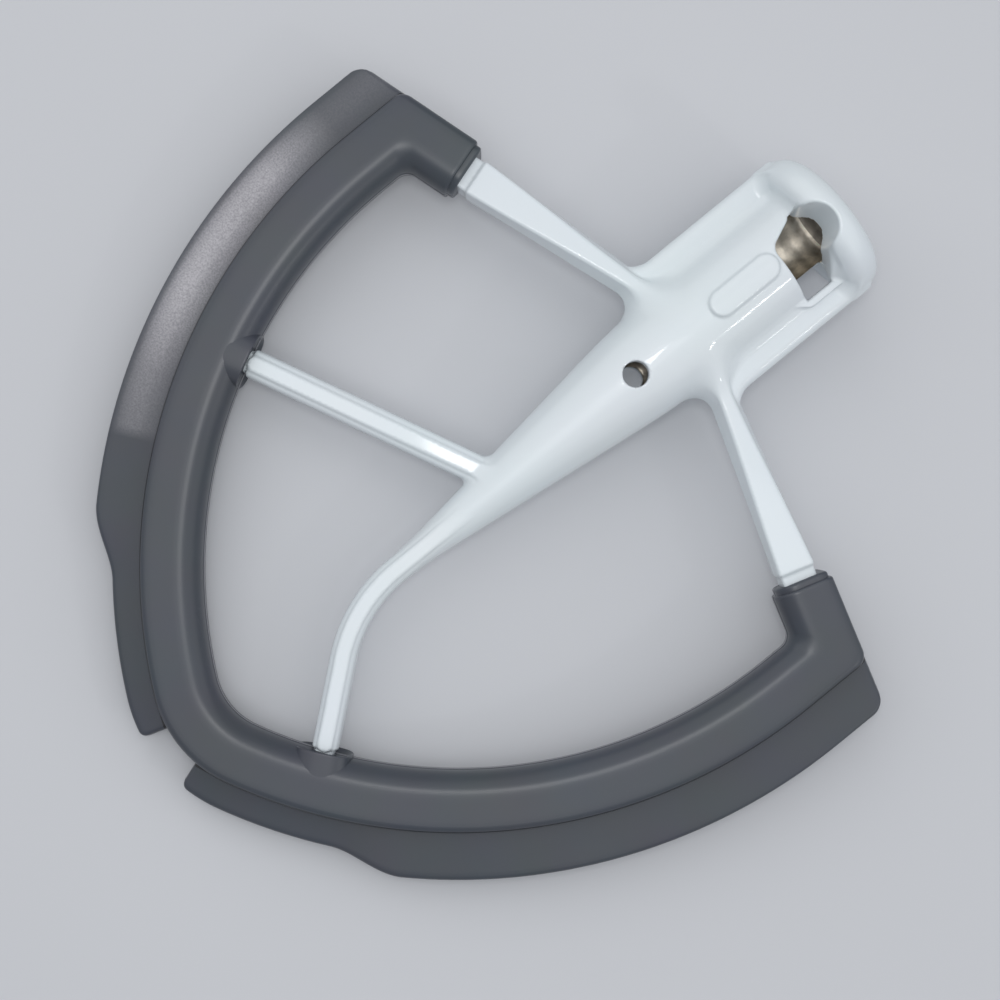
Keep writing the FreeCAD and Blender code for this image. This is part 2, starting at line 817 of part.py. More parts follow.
def conical_boss(name, on_axis, run):
    """A boss turned about the rib's or the tail's axis, narrowest at the mouth that it enters by."""
    mouth = run - half - cell("boss_proud")
    deep = run - half + cell("boss_depth")
    outline = new_sketch(sleeve_body, f"{name}_profile", "XY_Plane")
    draw(outline, [
        on_axis(mouth, ZERO),
        on_axis(deep, ZERO),
        on_axis(deep, cell("boss_root_radius")),
        on_axis(mouth, cell("boss_mouth_radius")),
    ])
    boss = sleeve_body.newObject("PartDesign::Revolution", name)
    boss.Profile = outline
    boss.ReferenceAxis = (outline, ["Edge1"])
    boss.Angle = FULL_TURN
    doc.recompute()


conical_boss("rib_boss", on_rib, rib_run)
conical_boss("tail_boss", on_tail, tail_run)

soft_blank = doc.addObject("Part::Fuse", "soft_blank")
soft_blank.Base = sleeve_body
soft_blank.Tool = fin_body
flex_edge = doc.addObject("Part::Cut", "flex_edge")
flex_edge.Label = "flex_edge"
flex_edge.Base = soft_blank
flex_edge.Tool = frame
doc.recompute()

for item in doc.Objects:
    problems = [state for state in item.State if state in ("Invalid", "Error")]
    if problems:
        raise RuntimeError(f"{item.Label} is {problems}")

os.makedirs("parts", exist_ok=True)
for node in (frame, flex_edge):
    shape = node.Shape
    if shape.isNull() or not shape.isValid():
        raise RuntimeError(f"{node.Label} has no valid shape")
    shape.exportStep(f"parts/{node.Label}.step")
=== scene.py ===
import json
import math
from functools import partial
from types import SimpleNamespace

import bmesh
import bpy
import numpy as np
from mathutils import Matrix, Vector


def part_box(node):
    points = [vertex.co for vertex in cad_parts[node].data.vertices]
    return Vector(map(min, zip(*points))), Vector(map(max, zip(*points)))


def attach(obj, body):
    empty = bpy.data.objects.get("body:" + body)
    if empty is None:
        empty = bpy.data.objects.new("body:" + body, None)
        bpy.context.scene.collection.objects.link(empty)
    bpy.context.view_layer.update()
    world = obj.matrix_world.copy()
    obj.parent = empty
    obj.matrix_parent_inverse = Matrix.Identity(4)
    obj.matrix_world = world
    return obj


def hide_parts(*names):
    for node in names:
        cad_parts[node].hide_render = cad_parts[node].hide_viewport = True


bl_info = {
    "name": "Flat beater",
    "version": (1, 0, 0),
    "blender": (4, 5, 0),
    "location": "3D View > Sidebar > Beater",
    "description": "A stand mixer's flat beater: coated casting, soft wiping edge and studio",
    "category": "Object",
}

MM = 0.001
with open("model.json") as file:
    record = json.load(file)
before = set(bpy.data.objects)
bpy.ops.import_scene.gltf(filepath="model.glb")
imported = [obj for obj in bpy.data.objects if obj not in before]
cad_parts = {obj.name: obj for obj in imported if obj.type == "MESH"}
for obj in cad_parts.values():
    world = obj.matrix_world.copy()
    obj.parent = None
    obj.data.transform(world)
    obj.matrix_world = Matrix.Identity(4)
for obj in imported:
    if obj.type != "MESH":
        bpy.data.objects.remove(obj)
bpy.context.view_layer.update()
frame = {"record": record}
CASTING_LOW, CASTING_HIGH = (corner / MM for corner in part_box("beater_frame"))
EDGE_LOW, EDGE_HIGH = (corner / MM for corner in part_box("flex_edge"))
SOCKET = next(
    mount["dims"] for mount in frame["record"]["mounts"] if mount["name"] == "shaft_socket")
RIM_REACH, SLEEVE_WIDTH = 65.0, 11.6


# Sizes and colours

def length(name, description, millimetres):
    """A length that a user may change, given in millimetres and stored in metres."""
    return bpy.props.FloatProperty(
        name=name, description=description, default=millimetres * MM, unit="LENGTH", precision=4)


def angle(name, description, degrees):
    """An angle that a user may change, given in degrees."""
    return bpy.props.FloatProperty(
        name=name, description=description, default=math.radians(degrees), subtype="ANGLE")


def colour(name, description, hex_code):
    """A colour that a user may change, given as an sRGB hex value."""
    return bpy.props.FloatVectorProperty(
        name=name, description=description, default=linear(hex_code), size=4, subtype="COLOR",
        min=0.0, max=1.0)


def linear(hex_code):
    """An sRGB hex value such as #8090A0 as linear red, green, blue and full alpha."""
    levels = [int(hex_code[place:place + 2], 16) / 255 for place in (1, 3, 5)]
    return [v / 12.92 if v <= 0.04045 else ((v + 0.055) / 1.055) ** 2.4 for v in levels] + [1.0]


class BeaterHub(bpy.types.PropertyGroup):
    """Lengths of the collar, barrel, shank and wings; they run down from the socket's mouth."""

    collar_radius: length("Collar radius", "Outside of the collar", CASTING_HIGH.z)
    collar_length: length("Collar length", "Height of the collar", 7.6)
    collar_narrowing: length("Collar narrowing", "How much narrower the collar's mouth is", 0.5)
    mouth_rounding: length("Mouth rounding", "Rounding of the collar's upper edge", 3.9)
    skirt_rounding: length("Skirt rounding", "Rounding of the collar's lower edge", 3.3)
    skirt_side_rounding: length("Skirt side rounding", "That edge's rounding at the wings", 0.6)
    collar_fillet: length("Collar fillet", "Hollow between the collar and the barrel", 2.8)
    collar_side_fillet: length("Collar side fillet", "Hollow between collar and wings", 1.2)
    barrel_radius: length("Barrel radius", "Outside of the barrel", 10.15)
    barrel_end: length("Barrel end", "Where the barrel starts to taper", 46.0)
    shank_end: length("Shank end", "Where the tapering shank has become the tail", 107.0)
    shank_tip: length("Shank tip radius", "Radius of the shank at its end", 2.4)
    taper_softness: length("Taper softness", "Width of the change from barrel to taper", 1.2)
    wing_reach: length("Wing reach", "Half width over the wings", 15.6)
    wing_end: length("Wing end", "Where the wings end, inside the arms", 38.5)
    wing_thickness: length("Wing thickness", "Thickness of the wings", 5.6)
    wing_rounding: length("Wing rounding", "Rounding of the wings' outer edges", 2.0)
    wing_fillet: length("Wing fillet", "Hollow between the wings and the barrel", 2.2)
    wing_side_fillet: length("Wing side fillet", "Hollow between the wings and the arms", 0.3)
    wing_flare: length("Wing flare", "Radius from the wings' sides into the arms", 4.0)
    pad_width: length("Pad width", "Width of the raised pad", 5.3)
    pad_top: length("Pad top", "Upper end of the raised pad", 16.4)
    pad_bottom: length("Pad bottom", "Lower end of the raised pad", 32.2)
    pad_height: length("Pad height", "How far the pad stands out of the barrel", 0.85)
    pad_rounding: length("Pad rounding", "Rounding of the pad's edge", 0.55)


class BeaterSocket(bpy.types.PropertyGroup):
    """Lengths of the shaft socket, its bayonet window and the drain hole."""

    radius: length("Socket radius", "Radius of the bore", SOCKET["r_mm"])
    depth: length("Socket depth", "Depth of the bore", SOCKET["length_mm"])
    keyway_reach: length("Keyway reach", "Outer side of the keyway", 10.0)
    keyway_width: length("Keyway width", "Width of the keyway", 5.4)
    keyway_inner: length("Keyway inner side", "Inner side of the slot through the back", 5.6)
    slot_bottom: length("Slot bottom", "Lower side of the slot", 15.6)
    seat_middle: length("Seat middle", "Middle of the pin seat's arch, left of the axis", 0.2)
    seat_drop: length("Seat drop", "Distance of the arch's centre below the mouth", 8.2)
    seat_radius: length("Seat radius", "Radius of the arch", 4.9)
    knob_rounding: length("Knob rounding", "Rounding beside the seat", 0.9)
    slot_top: length("Slot top", "Where the collar's edge starts beside the seat", 7.3)
    slot_left: length("Slot left", "Left end of the slot's lower side", 2.0)
    slot_rounding: length("Slot rounding", "Rounding of the window's lower left corner", 1.4)
    rim_drop: length("Rim drop", "Depth of the wider, coated rim of the bore", 4.8)
    rim_step: length("Rim step", "How much wider that rim is", 0.12)
    guard_width: length("Guard width", "Wall outside the keyway", 1.5)
    guard_shoulder: length("Guard shoulder", "Where that wall's slanted end starts", 15.8)
    guard_end: length("Guard end", "Where the slanted end runs out on the barrel", 19.0)
    guard_fillet: length("Guard fillet", "Hollow between that wall and the wing", 0.4)
    guard_inset: length("Guard inset", "Depth of the wall's foot inside the keyway", 1.1)
    guard_thickness: length("Guard thickness", "Thickness of the wall, front to back", 8.4)
    edge_rounding: length("Edge rounding", "Rounding that the coating gives the cut edges", 0.5)
    hole_rounding: length("Hole rounding", "Rounding of the drain hole's edge", 0.3)
    hole_radius: length("Hole radius", "Radius of the drain hole", 2.5)
    hole_drop: length("Hole drop", "Distance of the drain hole below the mouth", 50.7)


class BeaterArms(bpy.types.PropertyGroup):
    """Lengths of the arms, the rib and the tail."""

    arm_root: length("Arm root", "Where the arms' axes meet", 35.3)
    arm_length: length("Arm length", "Length of an arm from the shaft's axis to its shoulder", 51.2)
    arm_root_width: length("Arm root width", "Width of an arm at the shaft's axis", 4.4)
    arm_end_width: length("Arm end width", "Width of an arm at its shoulder", 8.0)
    arm_thickness: length("Arm thickness", "Thickness of the arms", 9.0)
    arm_rounding: length("Arm rounding", "Rounding of the arms' edges", 0.55)
    arm_fillet: length("Arm fillet", "Hollow between the arms and the barrel", 5.2)
    neck_width: length("Neck width", "Width of the neck that enters the soft edge", 6.8)
    neck_thickness: length("Neck thickness", "Thickness of that neck", 7.5)
    neck_end: length("Neck end", "Length of an arm with its neck", 57.0)
    rib_root: length("Rib root", "Where the rib's axis meets the shaft's", 83.0)
    rib_width: length("Rib width", "Width of the rib", 5.9)
    tail_width: length("Tail width", "Width of the tail", 5.3)
    tail_top: length("Tail top", "Where the tail starts inside the shank", 84.0)
    ridge_thickness: length("Ridge thickness", "Thickness of the rib's and the tail's bars", 6.2)
    ridge_rounding: length("Ridge rounding", "Rounding of the bars' edges", 0.5)
    ridge_step: length("Ridge step", "Step from the bars to the core in the soft edge", 0.6)
    ridge_stop: length("Ridge stop", "Distance of the bars' ends from the rim's middle line", 6.4)
    crest_width: length("Crest width", "Width of the crest along each bar's front and back", 2.9)
    crest_thickness: length("Crest thickness", "Thickness over the two crests", 7.2)
    crest_rounding: length("Crest rounding", "Rounding of the crests", 0.4)
    crest_fillet: length("Crest fillet", "Hollow beside the crests", 0.5)
    crest_lead: length("Crest lead", "How much further than the bars the crests reach", 0.4)
    rib_fillet: length("Rib fillet", "Hollow between the rib and the shank", 1.4)
    bend_start: length("Bend start", "Where the tail starts to bend", 110.0)
    bend_radius: length("Bend radius", "Radius of the tail's bend", 30.0)


class BeaterAngles(bpy.types.PropertyGroup):
    """Angles of the casting."""

    arm_slope: angle("Arm slope", "Fall of the arms", 16.8)
    arm_root_draft: angle("Arm root draft", "Slope of the arms' sides near the hub", 18.0)
    arm_draft: angle("Arm draft", "Slope of the arms' sides at their shoulders", 5.5)
    rib_slope: angle("Rib slope", "Fall of the rib", 25.5)
    ridge_draft: angle("Ridge draft", "Slope of the rib's and the tail's sides", 6.0)
    shoulder_fall: angle("Shoulder fall", "Slope of the bars' shoulders beside the crests", 30.0)
    seat_draft: angle("Seat draft", "Slope of the wall over the pin's seat", 9.4)
    window_draft: angle("Window draft", "Slope of the window's other walls", 3.4)
    slot_fall: angle("Slot fall", "Fall of the collar's edge beside the seat", 17.0)
    tail_turn: angle("Tail turn", "How far the tail bends", 39.4)


class BeaterSoftEdge(bpy.types.PropertyGroup):
    """Lengths of the soft edge: a sleeve along the rim, two fins outside it and two bosses."""

    rim_reach: length("Rim reach", "Half distance between the rim's straight sides", RIM_REACH)
    rim_side_end: length("Rim side end", "Where the straight sides become bows", 65.0)
    bow_radius: length("Bow radius", "Radius of the bows", 101.2)
    tip_radius: length("Tip radius", "Radius of the rim's tip", 19.5)
    corner_rounding: length("Corner rounding", "Rounding of the corners below the arms", 3.0)
    sleeve_start: length("Sleeve start", "Distance along the arm to the sleeve's end", 54.5)
    sleeve_width: length("Sleeve width", "Width of the sleeve", SLEEVE_WIDTH)
    sleeve_thickness: length(
        "Sleeve thickness", "Thickness of the sleeve", EDGE_HIGH.z - EDGE_LOW.z)
    inner_rounding: length("Inner rounding", "Rounding of the sleeve's inner edges", 4.3)
    outer_rounding: length("Outer rounding", "Rounding of the sleeve's outer edges", 1.5)
    flash_height: length("Flash height", "Height of the moulding line inside the rim", 0.2)
    lip_length: length("Lip length", "Length of the lip at each arm", 1.3)
    lip_inset: length("Lip inset", "Step from the sleeve down to the lip", 0.6)
    fin_width: length("Fin width", "Width of a fin", EDGE_HIGH.x - RIM_REACH - SLEEVE_WIDTH / 2)
    fin_tip_width: length("Fin tip width", "Width of a fin near the tip", 6.2)
    fin_root_thickness: length("Fin root thickness", "Thickness of a fin at the sleeve", 3.0)
    fin_edge_thickness: length("Fin edge thickness", "Thickness of a fin near its edge", 1.9)
    fin_corner: length("Fin corner", "Rounding of the fins' upper corners", 2.8)
    fin_tip_corner: length("Fin tip corner", "Rounding of the fins' corners at the gap", 1.5)
    fin_top_rise: length("Fin top rise", "Step from the sleeve's top up to the fins'", 0.5)
    fin_gap: length("Fin gap", "Gap between the fins at the sleeve's tip", 8.0)
    boss_radius: length("Boss radius", "Half width of the bosses' mouths", 5.65)
    boss_opening: length("Boss opening", "Half width of the opening round the rib or the tail", 2.9)
    boss_growth: length("Boss growth", "How much wider the bosses are further in", 0.4)
    boss_depth: length("Boss depth", "Length over which they widen", 3.6)
    boss_proud: length("Boss proud", "How far the bosses stand out of the sleeve", 0.35)


class BeaterSoftAngles(bpy.types.PropertyGroup):
    """Angles of the soft edge, round a bow's centre."""

    step_start: angle("Step start", "Where the fins start to narrow", 44.6)
    step_turn: angle("Step turn", "How far round the fins take to narrow", 7.4)
    gap_splay: angle("Gap splay", "Slope of the fins' ends away from the gap's middle", 17.5)


class BeaterFinishes(bpy.types.PropertyGroup):
    """Colours of the finishes."""

    coating: colour("Coating", "Glossy white powder coating", "#DDE5E9")
    metal: colour("Bore metal", "Machined wall of the socket", "#D6CEC0")
    rubber: colour("Soft edge", "Dark grey elastomer", "#434850")
    # Pale tone of the left fin's bloom together with its painted sheen; the moulding line uses it
    # too
    bloom_and_sheen: colour("Bloom", "Paler bloom on the worn fin", "#B6B4B9")
    floor: colour("Floor", "Pale studio floor", "#C9CBCF")


class BeaterStudio(bpy.types.PropertyGroup):
    """Camera and floor."""

    aim_x: length("Aim across", "Where the camera aims, across the beater", 2.2)
    aim_y: length("Aim along", "Where the camera aims, along the shaft", -85.8)
    camera_height: length("Camera height", "Height over the beater's middle plane", 340.0)
    frame_width: length("Frame width", "Width of the picture in the middle plane", 195.0)
    camera_roll: angle("Camera roll", "Turn of the picture's upward side from the shaft", 50.76)


def in_mm(group):
    """A group's lengths in millimetres, by name."""
    return SimpleNamespace(**{name: getattr(group, name) / MM for name in group.__annotations__})


def as_is(group):
    """A group's angles in radians, by name."""
    return SimpleNamespace(**{name: getattr(group, name) for name in group.__annotations__})


# Casting, as a signed distance in millimetres: below zero inside the metal

# How soon an arm's draft eases from its root's to its shoulder's, and a neck's start inside its arm
DRAFT_EASE, NECK_OVERLAP = 1.4, 2
# How far inside an arm's sides a wing runs along it, how far out in wing reaches, and how soon its
# hollow narrows beside the barrel
WING_INSET, WING_SPREAD, WING_EASE = 1.0, 1.4, 1.5
# Slope of the bore's conical foot, and how far the keyway's cut runs over the mouth
FOOT_SLOPE, OVER_MOUTH = 0.5, 2


def between(first, last, share):
    """The value a share of the way from the first to the last."""
    return first + (last - first) * share


def rounded(first, second, radius):
    """The part inside both shapes, its edge rounded: below -radius in both, the larger distance
    rules; nearer the edge, distance runs from a line set back by the radius in both."""
    corner = np.hypot(np.maximum(first + radius, 0), np.maximum(second + radius, 0))
    return np.minimum(np.maximum(first, second), -radius) + corner


def filleted(first, second, radius):
    """The part inside either shape, with a fillet of that radius in the hollow between them."""
    return -rounded(-first, -second, radius)


def eased_max(first, second, width):
    """The larger of two distances, the change from one to the other spread over a width."""
    share = np.clip(0.5 + (first - second) / (2 * width), 0, 1)
    return second + (first - second) * share + width * share * (1 - share)


def smooth_step(share):
    """0 below 0, 1 above 1, and an even S between."""
    share = np.clip(share, 0, 1)
    return share * share * (3 - 2 * share)


def collar_distance(x, y, z, hub, skirt_rounding):
    """The collar, turned about the shaft's axis: a side that narrows to the mouth, with a rounded
    top and foot."""
    lean = math.atan2(hub.collar_narrowing, hub.collar_length)
    side = np.hypot(x, z) - hub.collar_radius + (y + hub.collar_length) * math.tan(lean)
    collar = rounded(side * math.cos(lean), y, hub.mouth_rounding)
    return rounded(collar, -hub.collar_length - y, skirt_rounding)


def barrel_distance(x, y, z, hub):
    """The barrel, turned about the shaft's axis; below it a cone narrows to the shank's tip."""
    radius = np.hypot(x, z)
    taper = (hub.barrel_radius - hub.shank_tip) / (hub.shank_end - hub.barrel_end)
    cone = (radius - hub.barrel_radius - (y + hub.barrel_end) * taper) / math.hypot(1, taper)
    barrel = eased_max(radius - hub.barrel_radius, cone, hub.taper_softness)
    return np.maximum(barrel, np.maximum(y + hub.collar_length / 2, -hub.shank_end - y))


def arm_places(x, y, arms, angles):
    """Distance along the nearer arm's axis and height over that axis; the arms mirror each
    other."""
    side, rise = np.abs(x), y + arms.arm_root
    down, level = math.sin(angles.arm_slope), math.cos(angles.arm_slope)
    return side * level - rise * down, side * down + rise * level


def arm_half_width(along, arms):
    """Half width of an arm in its middle plane, growing evenly from the shaft's axis out."""
    growth = (arms.arm_end_width - arms.arm_root_width) / arms.arm_length
    return (arms.arm_root_width + growth * along) / 2


def arm_distance(x, y, z, arms, angles):
    """A bar along each arm's axis, thinner front and back by the draft, that ends in a shoulder and
    a neck."""
    along, above = arm_places(x, y, arms, angles)
    depth = np.abs(z)
    toward_root = smooth_step(DRAFT_EASE - DRAFT_EASE * along / arms.arm_length)
    slope = between(math.tan(angles.arm_draft), math.tan(angles.arm_root_draft), toward_root)
    bar = (np.abs(above) - arm_half_width(along, arms) + depth * slope) / np.hypot(1, slope)
    bar = rounded(bar, depth - arms.arm_thickness / 2, arms.arm_rounding)
    bar = rounded(bar, along - arms.arm_length, arms.arm_rounding)
    off_neck = np.abs(above) - arms.neck_width / 2
    neck = rounded(off_neck, depth - arms.neck_thickness / 2, arms.arm_rounding)
    before_neck = arms.arm_length - NECK_OVERLAP - along
    neck = np.maximum(neck, np.maximum(along - arms.neck_end, before_neck))
    return filleted(bar, neck, arms.arm_rounding)


def wing_distance(x, y, z, hub, arms, angles):
    """Flat webs beside the barrel; in plan their sides sweep onto the arms in an arc."""
    along, above = arm_places(x, y, arms, angles)
    side = np.maximum(np.abs(x) - hub.wing_reach, -hub.wing_end - y)
    lead = np.abs(above) - arm_half_width(along, arms) + WING_INSET
    lead = np.maximum(lead, along - WING_SPREAD * hub.wing_reach)
    plan = filleted(side, lead, hub.wing_flare)
    plan = np.maximum(plan, y + hub.collar_length / 2)
    return rounded(plan, np.abs(z) - hub.wing_thickness / 2, hub.wing_rounding)


def ridge_distance(off_axis, along, z, width, run, arms, angles):
    """The rib's or the tail's bar: sides that lean in by the draft, shoulders that rise to the
    middle, and a round-ended crest along its front and back. A smaller core runs on into the soft
    edge."""
    depth, draft = np.abs(z), angles.ridge_draft
    side = (np.abs(off_axis) - width / 2 + depth * math.tan(draft)) * math.cos(draft)
    off_crest = np.maximum(np.abs(off_axis) - arms.crest_width / 2, 0)
    shoulder = depth - arms.ridge_thickness / 2
    fall = angles.shoulder_fall
    shoulder = shoulder * math.cos(fall) + off_crest * math.sin(fall)
    past_stop = along - run + arms.ridge_stop
    bar = rounded(rounded(side, shoulder, arms.ridge_rounding), past_stop, arms.ridge_rounding)
    past_crest = np.maximum(past_stop - arms.crest_lead + arms.crest_width / 2, 0)
    crest = np.hypot(off_axis, past_crest) - arms.crest_width / 2
    crest = rounded(crest, depth - arms.crest_thickness / 2, arms.crest_rounding)
    core = rounded(side + arms.ridge_step, shoulder + arms.ridge_step, arms.ridge_rounding)
    return np.minimum(filleted(bar, crest, arms.crest_fillet), np.maximum(core, along - run))


def rib_distance(x, y, z, arms, angles, run):
    """The rib, straight from the shank down to the left rim."""
    fall, rise = angles.rib_slope, y + arms.rib_root
    along = -x * math.cos(fall) - rise * math.sin(fall)
    off_axis = -x * math.sin(fall) + rise * math.cos(fall)
    return np.maximum(ridge_distance(off_axis, along, z, arms.rib_width, run, arms, angles), -along)


def tail_end(arms, angles):
    """The point where the tail's bend ends."""
    x = arms.bend_radius * (1 - math.cos(angles.tail_turn))
    return x, -arms.bend_start - arms.bend_radius * math.sin(angles.tail_turn)


def tail_distance(x, y, z, arms, angles, run):
    """The tail: straight down the shaft's axis, an arc to the right, then straight to the rim."""
    turn = angles.tail_turn
    end_x, end_y = tail_end(arms, angles)
    drop = -arms.bend_start - y
    swing = np.arctan2(drop, arms.bend_radius - x)
    along = (x - end_x) * math.sin(turn) - (y - end_y) * math.cos(turn)
    straight = (x - end_x) * math.cos(turn) + (y - end_y) * math.sin(turn)
    bend = arms.bend_radius - np.hypot(x - arms.bend_radius, drop)
    off_axis = np.where(drop < 0, x, np.where(swing < turn, bend, straight))
    bar = ridge_distance(-off_axis, along, z, arms.tail_width, run, arms, angles)
    return np.maximum(bar, y + arms.tail_top)


def box_distance(x, y, low_x, high_x, low_y, high_y):
    """Inside a rectangle in plan."""
    across = np.maximum(low_x - x, x - high_x)
    return np.maximum(across, np.maximum(low_y - y, y - high_y))


def pad_distance(x, y, z, hub):
    """The raised pad: a round-ended outline that stands a little out of the barrel's front."""
    half = hub.pad_width / 2
    nearest = np.clip(y, half - hub.pad_bottom, -hub.pad_top - half)
    outline = np.hypot(x, y - nearest) - half
    crown = np.hypot(x, z) - hub.barrel_radius - hub.pad_height
    return np.maximum(rounded(outline, crown, hub.pad_rounding), -z)


def guard_distance(x, y, z, hub, socket):
    """The wall outside the keyway, from the collar down to an end that slants in onto the
    barrel."""
    inner = socket.keyway_reach - socket.guard_inset
    outer = socket.keyway_reach + socket.guard_width
    fall, width = socket.guard_end - socket.guard_shoulder, outer - inner
    end = (x - outer) * fall - (y + socket.guard_shoulder) * width
    wall = box_distance(x, y, inner, outer, -socket.guard_end, -hub.collar_length / 2)
    plan = rounded(wall, end / math.hypot(fall, width), socket.edge_rounding)
    return rounded(plan, np.abs(z) - socket.guard_thickness / 2, socket.edge_rounding / 2)


def cut_distance(x, y, z, hub, socket, angles):
    """What is cut away: the bore with its conical foot and wider rim, the keyway, the window in
    front with the pin's seat, whose walls slope, and the slot through the back."""
    radius = np.hypot(x, z)
    foot = -socket.depth - (socket.radius - radius) * FOOT_SLOPE - y
    cuts = np.maximum(radius - socket.radius, foot / math.hypot(1, FOOT_SLOPE))
    wide_rim = np.maximum(radius - socket.radius - socket.rim_step, -socket.rim_drop - y)
    cuts = np.minimum(cuts, wide_rim)
    keyway = box_distance(x, y, 0, socket.keyway_reach, -socket.slot_bottom, OVER_MOUTH)
    cuts = np.minimum(cuts, np.maximum(keyway, np.abs(z) - socket.keyway_width / 2))
    sunk = hub.collar_radius - z
    narrower = sunk * math.tan(angles.window_draft)
    over_seat = y + socket.seat_drop + sunk * math.tan(angles.seat_draft)
    seat = np.hypot(x + socket.seat_middle, np.maximum(over_seat, 0)) - socket.seat_radius
    seat = np.maximum(seat + narrower, -over_seat)
    seat_left = socket.seat_middle + socket.seat_radius
    lean = (seat_left - socket.slot_left) / (socket.slot_bottom - socket.seat_drop)
    slant = (-seat_left - lean * (y + socket.seat_drop) - x) / math.hypot(1, lean)
    slot = rounded(slant, -socket.slot_bottom - y, socket.slot_rounding)
    past_seat = np.maximum(x + socket.seat_middle - socket.seat_radius, 0)
    top = (y + socket.slot_top + narrower) * math.cos(angles.slot_fall)
    top = top + past_seat * math.sin(angles.slot_fall)
    slot = np.maximum(slot, np.maximum(x - socket.keyway_reach, top))
    window = filleted(seat, slot, socket.knob_rounding)
    cuts = np.minimum(cuts, np.maximum(window, -z))
    back = box_distance(
        x, y, socket.keyway_inner, socket.keyway_reach, -socket.slot_bottom, -hub.collar_length)
    return np.minimum(cuts, np.maximum(back, z))


def casting_distance(x, y, z, sizes):
    """The whole casting: hub, arms, wings, rib, tail, pad and guard run together with fillets, and
    the cuts taken out with edges as round as the coating leaves them."""
    hub, socket, arms, angles = sizes.hub, sizes.socket, sizes.arms, sizes.angles
    body = barrel_distance(x, y, z, hub)
    body = filleted(body, arm_distance(x, y, z, arms, angles), arms.arm_fillet)
    beside = (np.abs(x) - hub.barrel_radius) / (hub.wing_reach - hub.barrel_radius)
    hollow = between(hub.wing_fillet, hub.wing_side_fillet, smooth_step(WING_EASE * beside))
    body = filleted(body, wing_distance(x, y, z, hub, arms, angles), hollow)
    body = filleted(body, rib_distance(x, y, z, arms, angles, sizes.rib_run), arms.rib_fillet)
    body = filleted(body, tail_distance(x, y, z, arms, angles, sizes.tail_run), arms.rib_fillet / 2)
    at_side = smooth_step(2 * beside - 1)  # from half way out to a wing's side
    hollow = between(hub.collar_fillet, hub.collar_side_fillet, at_side)
    skirt = between(hub.skirt_rounding, hub.skirt_side_rounding, at_side)
    body = filleted(body, collar_distance(x, y, z, hub, skirt), hollow)
    body = filleted(body, guard_distance(x, y, z, hub, socket), socket.guard_fillet)
    body = filleted(body, pad_distance(x, y, z, hub), hub.pad_rounding)
    body = rounded(body, -cut_distance(x, y, z, hub, socket, angles), socket.edge_rounding)
    hole = np.hypot(x, y + socket.hole_drop) - socket.hole_radius
    return rounded(body, -hole, socket.hole_rounding)


# Skin over a distance field

CELL_CORNERS = np.array([[i, j, k] for i in (0, 1) for j in (0, 1) for k in (0, 1)])
CELL_EDGES = [
    (a, b) for a in range(8) for b in range(a)
    if np.abs(CELL_CORNERS[a] - CELL_CORNERS[b]).sum() == 1]
# Step for a slope in millimetres, and the least square of a slope that a point is moved by
NUDGE, LEAST_STEEP = 0.02, 0.1


def skin(distance, axes, passes=3):
    """Points, four-sided faces and normals on the zero of a distance field, over a grid of the
    axes' lines. Each cell that the surface crosses gets one point, the mean of the crossings on the
    cell's edges, and each grid line that crosses the surface joins its four cells' points. The
    points are then moved down the field's slope onto its zero, and that slope is the surface's
    normal."""
    field = distance(axes[0][:, None, None], axes[1][None, :, None], axes[2][None, None, :])
    field = np.broadcast_to(field, [len(axis) for axis in axes])
    inside = field < 0
    cells = tuple(size - 1 for size in field.shape)
    held = sum(
        inside[i:i + cells[0], j:j + cells[1], k:k + cells[2]].astype(np.int8)
        for i, j, k in CELL_CORNERS)
    places = np.argwhere((held > 0) & (held < 8))
    number = np.full(cells, -1)
    number[tuple(places.T)] = np.arange(len(places))
    total, hits = np.zeros((len(places), 3)), np.zeros((len(places), 1))
    for a, b in CELL_EDGES:
        ends = [places + CELL_CORNERS[a], places + CELL_CORNERS[b]]
        levels = [field[tuple(end.T)].astype(float)[:, None] for end in ends]
        points = [
            np.stack([axis[column] for axis, column in zip(axes, end.T)], 1) for end in ends]
        crossed = (levels[0] < 0) != (levels[1] < 0)
        share = levels[0] / np.where(crossed, levels[0] - levels[1], 1)
        total += np.where(crossed, points[0] + share * (points[1] - points[0]), 0)
        hits += crossed
    points = total / hits
    faces = []
    for axis in range(3):
        change = np.diff(inside.astype(np.int8), axis=axis)
        u, v = (axis + 1) % 3, (axis + 2) % 3
        spots = np.argwhere(change != 0)
        turned = change[tuple(spots.T)] > 0
        step_u, step_v = np.eye(3, dtype=int)[u], np.eye(3, dtype=int)[v]
        ring = [spots - step_u - step_v, spots - step_v, spots, spots - step_u]
        quads = np.stack([number[tuple(corner.T)] for corner in ring], 1)
        quads[turned] = quads[turned][:, ::-1]
        faces.append(quads)
    nudges = NUDGE * np.eye(3)
    for _ in range(passes):
        level = distance(*points.T)
        slope = np.stack([distance(*(points + way).T) - level for way in nudges], 1) / NUDGE
        steep = np.maximum((slope ** 2).sum(1), LEAST_STEEP)
        points = points - slope * (level / steep)[:, None]
    sides = [distance(*(points + way).T) - distance(*(points - way).T) for way in nudges]
    normals = np.stack(sides, 1)
    return points, np.concatenate(faces), normals / np.linalg.norm(normals, axis=1, keepdims=True)


def grid_line(*stretches):
    """Grid places through stretches of (start, end, spacing), each place given once."""
    lines = [
        np.linspace(start, end, round(abs(end - start) / gap), endpoint=False)
        for start, end, gap in stretches]
    return np.concatenate(lines + [[stretches[-1][1]]])


def new_object(name, data):
    """An object of that data, in the scene and at the origin."""
    thing = bpy.data.objects.new(name, data)
    bpy.context.scene.collection.objects.link(thing)
    return thing


